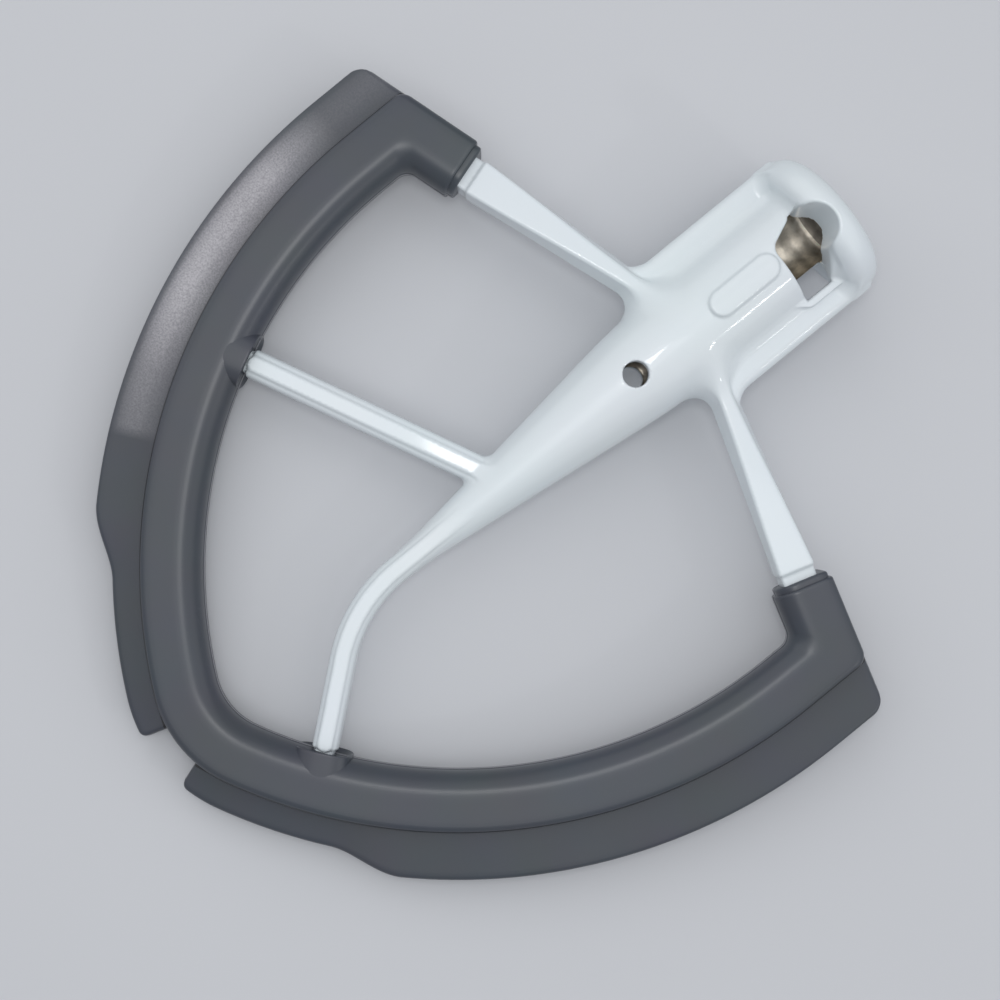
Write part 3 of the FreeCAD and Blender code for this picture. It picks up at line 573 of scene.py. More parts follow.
def new_piece(name, points, faces, material):
    """A smooth-shaded object at the origin, its mesh placed in metres from points in
    millimetres."""
    mesh = bpy.data.meshes.new(name)
    mesh.from_pydata((np.asarray(points) * MM).tolist(), [], [list(face) for face in faces])
    mesh.polygons.foreach_set("use_smooth", np.ones(len(mesh.polygons), bool))
    mesh.materials.append(material)
    mesh.validate()
    mesh.update()
    return new_object(name, mesh)


# Soft edge, as profiles carried along the rim

MIRROR = np.array([-1, 1, 1])
# Rows of points along each stretch of half the sleeve, in order, and along a fin
SLEEVE_ROWS = {"stub": 24, "corner": 14, "side": 20, "bow": 180, "tip": 40}
FIN_ROWS = {"side": 40, "bow": 220, "tip": 40}
# Points across a fin's face and round its edge
FIN_RUN, FIN_ROUND = 14, 9
# How far a fin's root lies inside the sleeve
FIN_OVERLAP = 1.2
# Moulding line: (share of the inner side's half height, share of the line's own height)
FLASH_SECTION = ((0.0, 1.0), (0.12, 0.6), (0.25, 0.0), (0.5, 0.0), (0.9, 0.0))
# Boss: its rim's rounding, how far it lies under the sleeve's faces, and its end past its wall
BOSS_RIM, BOSS_SUNK, BOSS_END = 0.25, 0.01, 0.5
# Funnel in its mouth: depths of its floor, wall and lip, and the lip's inset in roundings
FUNNEL_FLOOR, FUNNEL_WALL, FUNNEL_LIP, FUNNEL_INSET = 1.6, 1.5, 0.05, 1.6
# Rows along its wall in shares of its depth, points over its rim and round its axis
BOSS_ROWS, BOSS_ROUND, BOSS_ABOUT = np.linspace(0.14, 1.6, 18), 6, 128
# Share of a section that a cap closes
CAP_SHARE = 0.3


def rim_facts(edge):
    """Centres and turning points of the rim: each bow is struck from beyond the shaft's axis."""
    offset = edge.bow_radius - edge.rim_reach
    drop = math.sqrt((edge.bow_radius - edge.tip_radius) ** 2 - offset ** 2)
    return SimpleNamespace(
        offset=offset, tip_y=-edge.rim_side_end - drop, bow_turn=math.atan2(drop, offset))


def arm_point(along, above, sizes):
    """The point of the right arm at a distance along its axis and a height over it."""
    fall = sizes.angles.arm_slope
    x = along * math.cos(fall) + above * math.sin(fall)
    return x, -sizes.arms.arm_root - along * math.sin(fall) + above * math.cos(fall)


def corner_arc(share, beyond, sizes):
    """A point of the rounded corner where the line along the arm turns down the side, share 0 to 1
    of the way round, on the line that runs beyond the rim's middle by a distance."""
    fall, rounding = sizes.angles.arm_slope, sizes.edge.corner_rounding
    turn = math.pi / 2 - fall
    x = sizes.edge.rim_reach + beyond
    y = -sizes.arms.arm_root - x * math.tan(fall) + beyond / math.cos(fall)
    centre_x, centre_y = x - rounding, y - rounding * math.tan(turn / 2)
    lean = turn - turn * share
    return centre_x + rounding * np.cos(lean), centre_y + rounding * np.sin(lean)


def rim_point(stretch, share, beyond, sizes, start=0.0):
    """A point on the right half of the rim: share 0 to 1 of the way along one of its stretches, at
    a distance beyond its middle line. The stub starts at a distance along the arm."""
    edge, rim = sizes.edge, sizes.rim
    if stretch == "stub":
        ends = zip(arm_point(start, beyond, sizes), corner_arc(0.0, beyond, sizes))
        return tuple(between(first, last, share) for first, last in ends)
    if stretch == "corner":
        return corner_arc(share, beyond, sizes)
    if stretch == "side":
        x, y = corner_arc(1.0, beyond, sizes)
        return x, between(y, -edge.rim_side_end, share)
    if stretch == "bow":
        turn = rim.bow_turn * share
        radius = edge.bow_radius + beyond
        return radius * np.cos(turn) - rim.offset, -edge.rim_side_end - radius * np.sin(turn)
    turn = between(rim.bow_turn, math.pi / 2, share)
    radius = edge.tip_radius + beyond
    return radius * np.cos(turn), rim.tip_y - radius * np.sin(turn)


def sleeve_section(edge, count=9, flat_count=7):
    """Closed outline of the sleeve, as distances beyond the rim's middle line and heights: flat
    front and back, wide roundings inside, small ones outside and a fine moulding line along the
    inner side."""
    half, high = edge.sleeve_width / 2, edge.sleeve_thickness / 2
    inner, outer = edge.inner_rounding, edge.outer_rounding
    sweep = np.linspace(0, math.pi / 2, count)
    flat = np.linspace(0, 1, flat_count)[1:-1]
    rise, proud = np.array(FLASH_SECTION).T
    upper_beyond = np.concatenate([
        -half - edge.flash_height * proud,
        (inner - half - inner * np.sin(sweep))[::-1],
        inner - half + (edge.sleeve_width - inner - outer) * flat,
        half - outer + outer * np.sin(sweep)])
    upper_height = np.concatenate([
        rise * (high - inner),
        (high - inner + inner * np.cos(sweep))[::-1],
        high + 0 * flat,
        high - outer + outer * np.cos(sweep)])
    side = np.linspace(1, -1, flat_count)[1:-1] * (high - outer)
    beyond = np.concatenate([upper_beyond, half + 0 * side, upper_beyond[:0:-1]])
    return beyond, np.concatenate([upper_height, side, -upper_height[:0:-1]])


def tube_faces(rows, columns):
    """Faces of a grid of rows that close on themselves."""
    row, column = np.meshgrid(np.arange(rows - 1), np.arange(columns), indexing="ij")
    after = (column + 1) % columns
    corners = ((row, column), (row, after), (row + 1, after), (row + 1, column))
    return np.stack([(down * columns + over).ravel() for down, over in corners], 1)


def capped_tube(points):
    """Points and faces of a grid of rows that close on themselves, with a face over each end."""
    rows, columns = points.shape[:2]
    around = np.arange(columns)
    caps = [around[::-1], around + (rows - 1) * columns]
    return points.reshape(-1, 3), [*tube_faces(rows, columns), *caps]


def sleeve_surface(sizes):
    """The sleeve: its section carried from one arm round the tip to the other. At each arm the
    section shrinks to the lip and closes over the arm's neck."""
    edge = sizes.edge
    beyond, height = sleeve_section(edge)
    lip, out = 1 - 2 * edge.lip_inset / edge.sleeve_width, -edge.lip_length
    # Distance along the arm from the sleeve's end and scale of the section: lip, step, rounding
    ends = (
        (out, CAP_SHARE), (out, lip - 0.05), (0.2 + out, lip - 0.01), (0.45 + out, lip),
        (-0.05, lip), (0.0, lip + 0.01), (0.0, 0.96), (0.12, 0.985), (0.4, 1.0))
    rows = []
    for ahead, scale in ends:
        x, y = arm_point(edge.sleeve_start + ahead, beyond * scale, sizes)
        rows.append((x, y, height * scale))
    start = edge.sleeve_start + ends[-1][0]
    for stretch, count in SLEEVE_ROWS.items():
        shares = np.linspace(0, 1, count, endpoint=False)
        for share in shares[1:] if stretch == "stub" else shares:
            rows.append((*rim_point(stretch, share, beyond, sizes, start), height))
    x, y = rim_point("tip", 1.0, beyond, sizes)
    middle = np.stack([0 * x, y, height], 1)
    right = np.array(rows).transpose(0, 2, 1)
    return capped_tube(np.concatenate([right, middle[None], right[::-1] * MIRROR]))


def fin_surface(sizes):
    """The right fin: a thin section that tapers to a round edge, carried down the side and round
    the bow to the gap at the tip. Its width falls in an S where the step is, and its corners are
    rounded."""
    edge, soft, rim = sizes.edge, sizes.soft, sizes.rim
    half, slope = edge.sleeve_width / 2, sizes.angles.arm_slope
    foot, edge_half = half - FIN_OVERLAP, edge.fin_edge_thickness / 2
    run = np.linspace(0, 1, FIN_RUN)[:-1]
    half_turn = np.linspace(0, math.pi, FIN_ROUND)
    outward = np.concatenate([run, np.ones(FIN_ROUND), run[::-1]])
    bulge = np.concatenate([0 * run, np.sin(half_turn) * edge_half, 0 * run])
    taper = between(edge.fin_root_thickness, edge.fin_edge_thickness, run) / 2
    height = np.concatenate([taper, np.cos(half_turn) * edge_half, -taper[::-1]])
    rows = []
    for stretch, count in FIN_ROWS.items():
        for share in np.linspace(0, 1, count)[0 if stretch == "side" else 1:]:
            turn = rim.bow_turn * {"side": 0.0, "bow": share, "tip": 1.0}[stretch]
            narrow = smooth_step((turn - soft.step_start) / soft.step_turn)
            width = between(edge.fin_width, edge.fin_tip_width, narrow)
            beyond = between(foot, half + width - edge_half, outward) + bulge
            if stretch == "side":
                x = edge.rim_reach + beyond
                rise = (half + edge.fin_top_rise) / math.cos(slope)
                top = -sizes.arms.arm_root - x * math.tan(slope) + rise
                y = between(top, -edge.rim_side_end, share)
            elif stretch == "bow":
                x, y = rim_point("bow", share, beyond, sizes)
            else:
                radius = edge.tip_radius + beyond
                gap = edge.fin_gap / 2 + (beyond - half) * math.tan(soft.gap_splay)
                swing = between(rim.bow_turn, np.arccos(gap / radius), share)
                x, y = radius * np.cos(swing), rim.tip_y - radius * np.sin(swing)
            rows.append((x, y, height))
    grid = round_fin_ends(np.array(rows).transpose(0, 2, 1), edge)
    return grid.reshape(-1, 3), tube_faces(*grid.shape[:2])


def round_fin_ends(grid, edge):
    """Round the fin's outer corners in plan and its two end edges in section: near an end, points
    move in along their row by the sagitta of a circle, and heights shrink to the middle plane."""
    steps = np.linalg.norm(np.diff(grid, axis=0), axis=2)
    outer = np.argmax(grid[:, :, 0].max(0))
    for order, corner in ((1, edge.fin_corner), (-1, edge.fin_tip_corner)):
        run = np.concatenate([[0], np.cumsum(steps[::order][:, outer])])
        near = np.clip(1 - run / corner, 0, 1)
        back = corner * (1 - np.sqrt(1 - near ** 2))
        flat = np.clip(1 - run / (edge.fin_edge_thickness / 2), 0, 1)
        thin = np.sqrt(1 - flat ** 2)
        rows = grid[::order]
        foot = rows[:, :1, :2]
        pull = 1 - back / np.linalg.norm(rows[:, outer, :2] - foot[:, 0], axis=1)
        rows[:, :, :2] = foot + (rows[:, :, :2] - foot) * pull[:, None, None]
        rows[:, :, 2] *= thin[:, None]
    return grid


def boss_surface(mouth, way, edge):
    """A boss round the rib or the tail, carried along its axis: a section between an oval and a
    box, |across / half|^3 + |height / high|^3 = 1, that widens inwards, with a rounded rim and a
    funnel at its mouth."""
    high = edge.sleeve_thickness / 2 - BOSS_SUNK
    depth, half, opening = edge.boss_depth, edge.boss_radius, edge.boss_opening
    # Distance in from the mouth, half width and half height: funnel, rim, wall and end
    inset = FUNNEL_INSET * BOSS_RIM
    stations = [
        (FUNNEL_FLOOR, CAP_SHARE * opening, CAP_SHARE * opening),
        (FUNNEL_WALL, opening, opening),
        (FUNNEL_LIP, half - inset, high - inset)]
    for turn in np.linspace(0, math.pi / 2, BOSS_ROUND):
        inset = BOSS_RIM * (1 - math.sin(turn))
        stations.append((BOSS_RIM * (1 - math.cos(turn)), half - inset, high - inset))
    stations += [(share * depth, half + edge.boss_growth * share, high) for share in BOSS_ROWS]
    end = BOSS_ROWS[-1] * depth + BOSS_END
    stations.append((end, half * CAP_SHARE, high * CAP_SHARE))
    along, across_half, high_half = np.array(stations).T[:, :, None]
    about = np.linspace(0, 2 * math.pi, BOSS_ABOUT, endpoint=False)
    across, height = (
        size * np.sign(wave) * np.abs(wave) ** (2 / 3)
        for size, wave in ((across_half, np.cos(about)), (high_half, np.sin(about))))
    x = mouth[0] + along * way[0] - across * way[1]
    y = mouth[1] + along * way[1] + across * way[0]
    return capped_tube(np.stack([x, y, height], 2))


def run_to_rim(x, y, way_x, way_y, centre_x, edge):
    """Distance from a point to the rim's middle line, along a direction, on the bow struck from
    centre_x."""
    from_x, from_y = x - centre_x, y + edge.rim_side_end
    half = from_x * way_x + from_y * way_y
    return math.sqrt(half ** 2 - from_x ** 2 - from_y ** 2 + edge.bow_radius ** 2) - half


def sizes_of(scene):
    """All sizes in millimetres and radians, with the runs of the rib and the tail to the rim."""
    arms, angles = in_mm(scene.beater_arms), as_is(scene.beater_angles)
    edge = in_mm(scene.beater_soft_edge)
    rim = rim_facts(edge)
    rib_start, tail_start = (0.0, -arms.rib_root), tail_end(arms, angles)
    rib_way = (-math.cos(angles.rib_slope), -math.sin(angles.rib_slope))
    tail_way = (math.sin(angles.tail_turn), -math.cos(angles.tail_turn))
    return SimpleNamespace(
        hub=in_mm(scene.beater_hub), socket=in_mm(scene.beater_socket), arms=arms, angles=angles,
        edge=edge, soft=as_is(scene.beater_soft_angles), rim=rim,
        rib_start=rib_start, rib_way=rib_way,
        rib_run=run_to_rim(*rib_start, *rib_way, rim.offset, edge),
        tail_start=tail_start, tail_way=tail_way,
        tail_run=run_to_rim(*tail_start, *tail_way, -rim.offset, edge))


# Materials

# Levels, each at a place from 0 to 1: down the socket to twice its rim's depth, painted shade in
# the rim and a painted highlight on its ring; and across the left fin from the crease to the edge
# and along it from the bow's start, a bloom partly painted as sheen
RIM_SHADE_AND_RING_HIGHLIGHT = ((0.0, 0.12), (0.4, 0.2), (0.48, 0.3), (0.5, 1.0), (0.54, 1.0), (0.58, 0.55), (0.75, 0.7))
BLOOM_AND_SHEEN_ENDS = ((0.0, 0.0), (1.0, 0.05))
BLOOM_AND_SHEEN_ACROSS = ((0.06, 0.3), (0.3, 0.7), (0.55, 1.0), (0.8, 0.7), (0.93, 0.15))
BLOOM_AND_SHEEN_ALONG = (
    (0.0, 0.15), (0.2, 0.9), (0.54, 1.0), (0.63, 0.85), (0.77, 0.45), (0.915, 0.3), (0.945, 0.0))
BLOOM_AND_SHEEN_TURN = math.radians(40)
# How far outside the bore the coating starts and is whole, and how far under the mouth metal shows
COAT_START, COAT_WHOLE, COAT_DROP = 0.05, 0.15, 0.5
# Radians that a wave texture runs through in one unit
WAVE_TURN = 20
# Painted shade in the crease: its distance out of the crease, half width, strength and colour
CREASE_SHADE_PLACE, CREASE_SHADE_HALF, CREASE_SHADE, CREASE_SHADE_COLOUR = 0.1, 0.45, 0.85, (0.01, 0.01, 0.012, 1.0)
# Moulding line: its half width, how far it lies in the inner side, and its strength
LINE_HALF, LINE_DEPTH, LINE = 0.2, 0.1, 0.6


def add_node(tree, kind, sockets=None, **settings):
    """Add a node with its settings; each socket named gets a value, or a link from an output. A
    node given there stands for its first output in use."""
    node = tree.nodes.new("ShaderNode" + kind)
    for name, value in settings.items():
        setattr(node, name, value)
    for name, value in (sockets or {}).items():
        if isinstance(value, bpy.types.Node):
            value = next(output for output in value.outputs if output.enabled)
        if isinstance(value, bpy.types.NodeSocket):
            tree.links.new(value, node.inputs[name])
        else:
            node.inputs[name].default_value = value
    return node


def new_material(name):
    """An empty node material, and add_node for its tree."""
    material = bpy.data.materials.new(name)
    material.use_nodes = True
    material.node_tree.nodes.clear()
    return material, partial(add_node, material.node_tree)


def paint_ramp(stops, levels):
    """Set a ramp's stops to grey levels; the first is at zero."""
    stops.remove(stops[1])
    for place, level in levels:
        stop = stops[0] if place == 0.0 else stops.new(place)
        stop.color = (level, level, level, 1.0)


def per_metre(millimetres):
    """The texture scale at which a pattern repeats once in so many millimetres."""
    return 1 / (millimetres * MM)


def coated_casting(finishes, sizes):
    """Powder-coated aluminium, sprayed and baked: a glossy cool white with the faint long waves
    that the melted powder leaves. The socket is bored after coating, so its wall is bare metal with
    the streaks and rings of turning, stained; painted shade darkens the rim above the ring, and a
    painted highlight brightens the ring."""
    material, add = new_material("powder_coated_casting")
    socket = sizes.socket
    place = add("TexCoord").outputs["Object"]
    parts = add("SeparateXYZ", {"Vector": place}).outputs
    waves, clouds, stain = (
        add("TexNoise", {"Vector": place, "Scale": per_metre(size), "Detail": detail})
        for size, detail in ((2.2, 2.0), (30, 2.0), (1.6, 5.0)))
    tint = add(
        "Mix", {"Factor": 0.05, "A": finishes.coating, "B": clouds.outputs["Color"]},
        data_type="RGBA", blend_type="MULTIPLY")
    bump = add("Bump", {"Strength": 0.1, "Distance": 0.05 * MM, "Height": waves})
    paint = add("BsdfPrincipled", {
        "Base Color": tint, "Normal": bump, "Roughness": 0.42, "IOR": 1.5, "Coat Weight": 0.5,
        "Coat Roughness": 0.06})

    flat = add("CombineXYZ", {"X": parts["X"], "Y": parts["Z"]})
    radius = add("VectorMath", {0: flat}, operation="LENGTH")
    bore = socket.radius + socket.rim_step
    coated, uncoated = (bore + COAT_WHOLE) * MM, (bore + COAT_START) * MM
    bare = add(
        "MapRange", {"Value": radius, "From Min": coated, "From Max": uncoated},
        interpolation_type="SMOOTHSTEP")
    middle = (COAT_DROP + socket.depth) / 2
    half = (middle - COAT_DROP + socket.radius / 2) * MM
    bored = add("Math", {0: parts["Y"], 1: -middle * MM, 2: half}, operation="COMPARE")
    socket_wall = add("Math", {0: bare, 1: bored}, operation="MULTIPLY")

    turning = add(
        "TexWave",
        {"Vector": place, "Scale": per_metre(0.5) / WAVE_TURN, "Distortion": 2.0, "Detail": 3.0,
         "Detail Scale": 3.0},
        bands_direction="Y", wave_profile="SIN").outputs["Fac"]
    worn = add("MapRange", {
        "Value": stain, "From Min": 0.35, "From Max": 0.65, "To Min": 0.95, "To Max": 1.45})
    streaks = add("MapRange", {"Value": turning, "To Min": 0.7, "To Max": 1.25})
    # Painted shade darkens the metal in the rim above the ring and a painted highlight brightens
    # the ring, both set by depth down the socket
    depth = add("MapRange", {"Value": parts["Y"], "From Max": -2 * socket.rim_drop * MM})
    rim_shade_and_ring_highlight = add("ValToRGB", {"Fac": depth})
    paint_ramp(rim_shade_and_ring_highlight.color_ramp.elements, RIM_SHADE_AND_RING_HIGHLIGHT)
    streaked = add("Math", {0: worn, 1: streaks}, operation="MULTIPLY")
    shaded_streaked = add("Math", {0: streaked, 1: rim_shade_and_ring_highlight}, operation="MULTIPLY")
    metal_tone = add(
        "Mix", {"Factor": 1.0, "A": finishes.metal, "B": shaded_streaked},
        data_type="RGBA", blend_type="MULTIPLY")
    rings = add("Bump", {"Strength": 0.6, "Distance": 0.05 * MM, "Height": turning})
    metal = add("BsdfPrincipled", {
        "Base Color": metal_tone, "Normal": rings, "Roughness": 0.4, "Metallic": 1.0})
    both = add("MixShader", {0: socket_wall, 1: paint, 2: metal})
    add("OutputMaterial", {"Surface": both})
    return material


def moulded_elastomer(finishes, sizes):
    """Moulded thermoplastic elastomer: dark grey, satin, with the fine grain of the mould and faint
    cloudy tone. On the left fin a paler patch is partly a bloom where the bowl has rubbed it and
    partly a painted sheen, painted shade darkens the crease between fin and sleeve, and a pale
    moulding line runs along the rim's inner side."""
    material, add = new_material("moulded_elastomer")
    edge, rim = sizes.edge, sizes.rim
    place = add("TexCoord").outputs["Object"]
    parts = add("SeparateXYZ", {"Vector": place}).outputs
    grain, clouds, mottle = (
        add("TexNoise", {"Vector": place, "Scale": per_metre(size), "Detail": 3.0})
        for size in (0.5, 14, 0.35))
    tint = add(
        "Mix", {"Factor": 0.2, "A": finishes.rubber, "B": clouds.outputs["Color"]},
        data_type="RGBA", blend_type="MULTIPLY")

    side = add("Math", {0: parts["X"]}, operation="ABSOLUTE")
    across = add("Math", {0: side, 1: rim.offset * MM}, operation="ADD")
    fall = add("Math", {0: parts["Y"], 1: edge.rim_side_end * MM}, operation="ADD")
    below = add("Math", {0: fall, 1: 0.0}, operation="MINIMUM")
    from_centre = add("CombineXYZ", {"X": across, "Y": below})
    reach = add("VectorMath", {0: from_centre}, operation="LENGTH")
    crease = (edge.bow_radius + edge.sleeve_width / 2) * MM
    across_fin = add("MapRange", {
        "Value": reach, "From Min": crease, "From Max": crease + edge.fin_width * MM})
    outward = add("FloatCurve", {"Value": across_fin})
    profile = outward.mapping.curves[0].points
    profile[0].location, profile[1].location = BLOOM_AND_SHEEN_ENDS
    for spot in BLOOM_AND_SHEEN_ACROSS:
        profile.new(*spot)
    outward.mapping.update()
    drop = add("Math", {0: below, 1: -1.0}, operation="MULTIPLY")
    turn = add("Math", {0: drop, 1: across}, operation="ARCTAN2")
    along = add("MapRange", {"Value": turn, "From Max": BLOOM_AND_SHEEN_TURN})
    ramp = add("ValToRGB", {"Fac": along})
    paint_ramp(ramp.color_ramp.elements, BLOOM_AND_SHEEN_ALONG)
    patchy = add("MapRange", {
        "Value": mottle, "From Min": 0.3, "From Max": 0.7, "To Min": 0.6, "To Max": 1.1})
    # The paler patch on the left fin is partly a real bloom and partly a painted sheen
    rubbed_and_sheen = add("Math", {0: parts["X"], 1: 0.0}, operation="LESS_THAN")
    for factor in (outward, ramp, patchy):
        rubbed_and_sheen = add("Math", {0: rubbed_and_sheen, 1: factor}, operation="MULTIPLY")
    tone = add("Mix", {"Factor": rubbed_and_sheen, "A": tint, "B": finishes.bloom_and_sheen}, data_type="RGBA")

    # Painted shade along the crease between fin and sleeve
    crease_band = add(
        "Math", {0: reach, 1: crease + CREASE_SHADE_PLACE * MM, 2: CREASE_SHADE_HALF * MM}, operation="COMPARE")
    crease_shade = add("Math", {0: crease_band, 1: CREASE_SHADE}, operation="MULTIPLY")
    crease_shaded = add("Mix", {"Factor": crease_shade, "A": tone, "B": CREASE_SHADE_COLOUR}, data_type="RGBA")
    level = add("Math", {0: parts["Z"], 1: 0.0, 2: LINE_HALF * MM}, operation="COMPARE")
    inner_side = crease - (edge.sleeve_width - LINE_DEPTH) * MM
    inside = add("Math", {0: reach, 1: inner_side}, operation="LESS_THAN")
    arm_fall, arm_root = -math.tan(sizes.angles.arm_slope), -sizes.arms.arm_root * MM
    arm_line = add("Math", {0: side, 1: arm_fall, 2: arm_root}, operation="MULTIPLY_ADD")
    flash = add("Math", {0: parts["Y"], 1: arm_line}, operation="LESS_THAN")
    for factor in (inside, level, LINE):
        flash = add("Math", {0: flash, 1: factor}, operation="MULTIPLY")
    lined = add("Mix", {"Factor": flash, "A": crease_shaded, "B": finishes.bloom_and_sheen}, data_type="RGBA")
    bump = add("Bump", {"Strength": 0.15, "Distance": 0.03 * MM, "Height": grain})
    rubber = add("BsdfPrincipled", {
        "Base Color": lined, "Normal": bump, "Roughness": 0.34, "IOR": 1.5})
    add("OutputMaterial", {"Surface": rubber})
    return material


def studio_floor(finishes):
    """Seamless studio paper: pale, matt and plain."""
    material, add = new_material("studio_paper")
    paper = add("BsdfPrincipled", {
        "Base Color": finishes.floor, "Roughness": 0.9, "Specular IOR Level": 0.2})
    add("OutputMaterial", {"Surface": paper})
    return material


# Operators

# Grid for the casting's skin: spacings at the hub and the shoulders, along the arms and in the
# lower half; its range along the shaft and where its spacing changes; margins beside the wings and
# the collar, and the share of an arm where its shoulder's zone starts
FINE, COARSE, LOWER = 0.41, 0.58, 0.54
GRID_FOOT, GRID_CHANGE, GRID_TOP = -154, -58, 1
WING_MARGIN, DEPTH_MARGIN, SHOULDER_SHARE = 3, 1, 0.86
# How far inside the rim's middle line the arms' necks end
NECK_CLEAR = 4
# Points nearer than this are one, and edges sharper than this stay crisp
MERGE, CRISP = 0.005 * MM, math.radians(50)

# Half width of the floor in metres, and where along the shaft the collar rests on it
FLOOR_HALF, COLLAR_REST = 3.0, -4 * MM
SENSOR = 36.0
SKY, SKY_STRENGTH = (0.93, 0.95, 1.0, 1.0), 0.37
# Name, place from the aim in the picture's directions in metres, size and power
LAMPS = (
    ("key", (-0.5, 0.55, 0.65), 1.4, 4.6),
    ("right", (0.6, -0.12, 0.65), 1.3, 3.3),
    ("overhead", (-0.06, -0.08, 0.9), 0.45, 0.9),
    ("near_lens", (0.0, 0.03, 0.37), 0.06, 0.17),
    ("glint", (0.638, -0.415, 0.53), 0.06, 0.27),
)


class BEATER_OT_casting(bpy.types.Operator):
    """Skin the coated casting: hub, arms, rib and tail in one smooth piece"""

    bl_idname = "beater.casting"
    bl_label = "Casting"

    def execute(self, context):
        scene = context.scene
        sizes = sizes_of(scene)
        reach = sizes.edge.rim_reach - NECK_CLEAR
        near, shoulder = sizes.hub.wing_reach + WING_MARGIN, SHOULDER_SHARE * sizes.arms.arm_length
        deep = CASTING_HIGH.z + DEPTH_MARGIN
        axes = (
            grid_line(
                (-reach, -shoulder, FINE), (-shoulder, -near, COARSE), (-near, near, FINE),
                (near, shoulder, COARSE), (shoulder, reach, FINE)),
            grid_line((GRID_FOOT, GRID_CHANGE, LOWER), (GRID_CHANGE, GRID_TOP, FINE)),
            grid_line((-deep, deep, FINE)),
        )
        points, faces, normals = skin(lambda x, y, z: casting_distance(x, y, z, sizes), axes)
        coating = coated_casting(scene.beater_finishes, sizes)
        piece = new_piece("beater_casting", points, faces, coating)
        piece.data.normals_split_custom_set_from_vertices(normals.tolist())
        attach(piece, "root")
        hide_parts("beater_frame")
        return {"FINISHED"}


class BEATER_OT_soft_edge(bpy.types.Operator):
    """Carry the soft edge's sleeve and fins along the rim, with a boss at the rib and at the
    tail"""

    bl_idname = "beater.soft_edge"
    bl_label = "Soft edge"

    def execute(self, context):
        scene = context.scene
        sizes = sizes_of(scene)
        edge = sizes.edge
        fin, faces = fin_surface(sizes)
        shells = [sleeve_surface(sizes), (fin, faces[:, ::-1]), (fin * MIRROR, faces)]
        for start, way, run in (
            (sizes.rib_start, sizes.rib_way, sizes.rib_run),
            (sizes.tail_start, sizes.tail_way, sizes.tail_run),
        ):
            out = run - edge.sleeve_width / 2 - edge.boss_proud
            mouth = (start[0] + out * way[0], start[1] + out * way[1])
            shells.append(boss_surface(mouth, way, edge))
        points, faces = [], []
        for shell_points, shell_faces in shells:
            first = sum(len(part) for part in points)
            points.append(shell_points)
            faces += [face + first for face in shell_faces]
        rubber = moulded_elastomer(scene.beater_finishes, sizes)
        piece = new_piece("soft_edge", np.concatenate(points), faces, rubber)
        close_shells(piece.data)
        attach(piece, "root")
        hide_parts("flex_edge")
        return {"FINISHED"}


def close_shells(mesh):
    """Merge the points that meet where a shell closes, turn its faces outwards and keep crisp
    edges."""
    shells = bmesh.new()
    shells.from_mesh(mesh)
    bmesh.ops.remove_doubles(shells, verts=shells.verts, dist=MERGE)
    bmesh.ops.recalc_face_normals(shells, faces=shells.faces)
    shells.to_mesh(mesh)
    shells.free()
    mesh.set_sharp_from_angle(angle=CRISP)


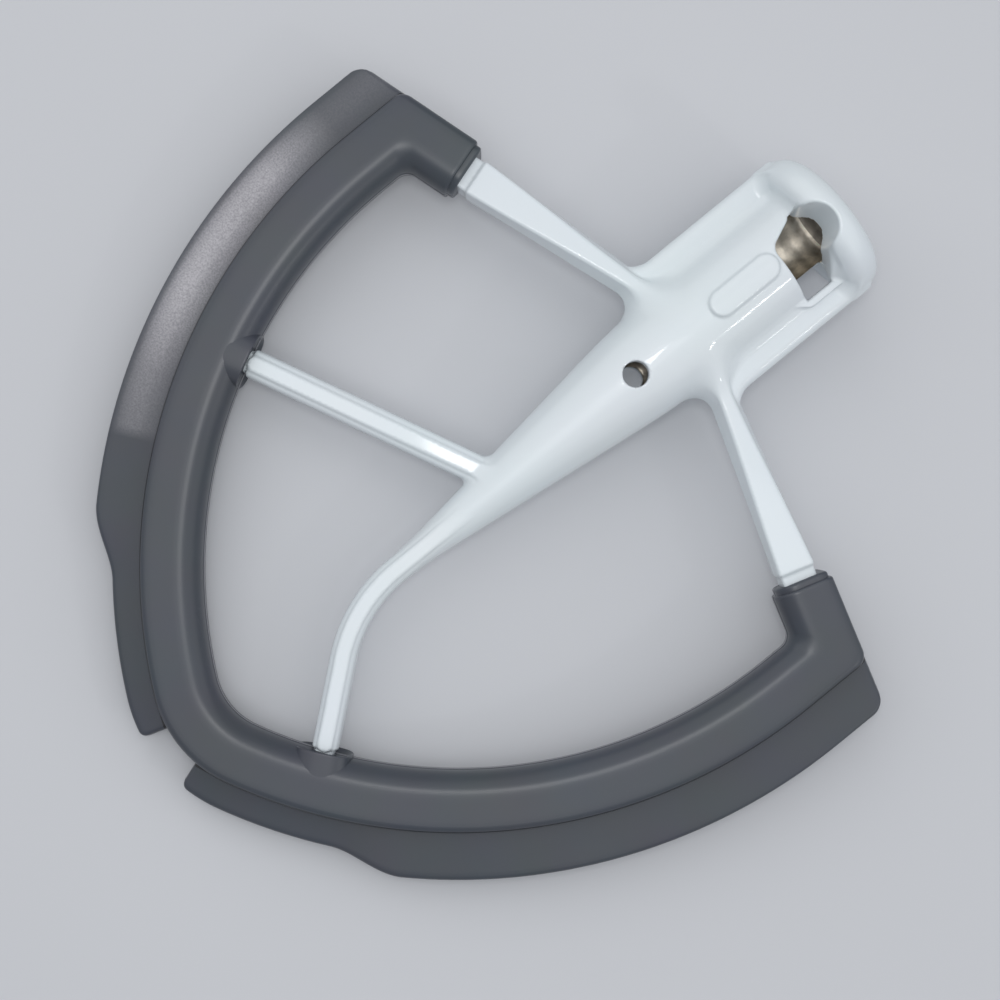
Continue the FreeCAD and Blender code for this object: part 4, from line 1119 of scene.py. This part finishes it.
class BEATER_OT_studio(bpy.types.Operator):
    """Set the floor under the beater, the lights over it and the camera that looks straight down"""

    bl_idname = "beater.studio"
    bl_label = "Studio"

    def execute(self, context):
        scene = context.scene
        studio = scene.beater_studio
        tip_z, collar_z = EDGE_LOW.z * MM, CASTING_LOW.z * MM
        fall = math.atan2(tip_z - collar_z, COLLAR_REST - EDGE_LOW.y * MM)
        mesh = bpy.data.meshes.new("studio_floor")
        signs = ((-1, -1), (1, -1), (1, 1), (-1, 1))
        corners = [(x * FLOOR_HALF, y * FLOOR_HALF, 0) for x, y in signs]
        mesh.from_pydata(corners, [], [(0, 1, 2, 3)])
        mesh.materials.append(studio_floor(scene.beater_finishes))
        rest = Matrix.Translation((0, COLLAR_REST, collar_z))
        mesh.transform(rest @ Matrix.Rotation(-fall, 4, "X"))
        floor = new_object("studio_floor", mesh)

        aim = Vector((studio.aim_x, studio.aim_y, 0))
        roll = Matrix.Rotation(studio.camera_roll, 4, "Z")
        lens = bpy.data.cameras.new("camera")
        lens.sensor_width = SENSOR
        lens.lens = lens.sensor_width * studio.camera_height / studio.frame_width
        camera = new_object("camera", lens)
        camera.matrix_world = Matrix.Translation(aim + Vector((0, 0, studio.camera_height))) @ roll
        scene.camera = camera

        for name, place, size, power in LAMPS:
            data = bpy.data.lights.new(name, "AREA")
            data.size = size
            data.energy = power
            spot = aim + (roll @ Vector(place))
            toward = (spot - aim).to_track_quat("Z", "Y")
            lamp = new_object(name, data)
            lamp.matrix_world = Matrix.Translation(spot) @ toward.to_matrix().to_4x4()

        world = bpy.data.worlds.new("studio_world")
        world.use_nodes = True
        sky = world.node_tree.nodes["Background"]
        sky.inputs["Color"].default_value = SKY
        sky.inputs["Strength"].default_value = SKY_STRENGTH
        scene.world = world
        scene.view_settings.view_transform = "Standard"
        return {"FINISHED"}


class BEATER_PT_panel(bpy.types.Panel):
    """The beater's operators and sizes"""

    bl_idname = "BEATER_PT_panel"
    bl_label = "Flat beater"
    bl_space_type = "VIEW_3D"
    bl_region_type = "UI"
    bl_category = "Beater"

    def draw(self, context):
        for operator in OPERATORS:
            self.layout.operator(operator.bl_idname)
        for name in GROUPS:
            group = getattr(context.scene, name)
            box = self.layout.box()
            for field in group.__annotations__:
                box.prop(group, field)


GROUPS = {
    "beater_hub": BeaterHub,
    "beater_socket": BeaterSocket,
    "beater_arms": BeaterArms,
    "beater_angles": BeaterAngles,
    "beater_soft_edge": BeaterSoftEdge,
    "beater_soft_angles": BeaterSoftAngles,
    "beater_finishes": BeaterFinishes,
    "beater_studio": BeaterStudio,
}
OPERATORS = (BEATER_OT_casting, BEATER_OT_soft_edge, BEATER_OT_studio)


def register():
    for cls in (*GROUPS.values(), *OPERATORS, BEATER_PT_panel):
        bpy.utils.register_class(cls)
    for name, cls in GROUPS.items():
        setattr(bpy.types.Scene, name, bpy.props.PointerProperty(type=cls))


def unregister():
    for name in GROUPS:
        delattr(bpy.types.Scene, name)
    for cls in (BEATER_PT_panel, *reversed(OPERATORS), *reversed(list(GROUPS.values()))):
        bpy.utils.unregister_class(cls)


def main():
    """Build every piece in order."""
    register()
    bpy.ops.beater.casting()
    bpy.ops.beater.soft_edge()
    bpy.ops.beater.studio()


if __name__ == "__main__":
    main()
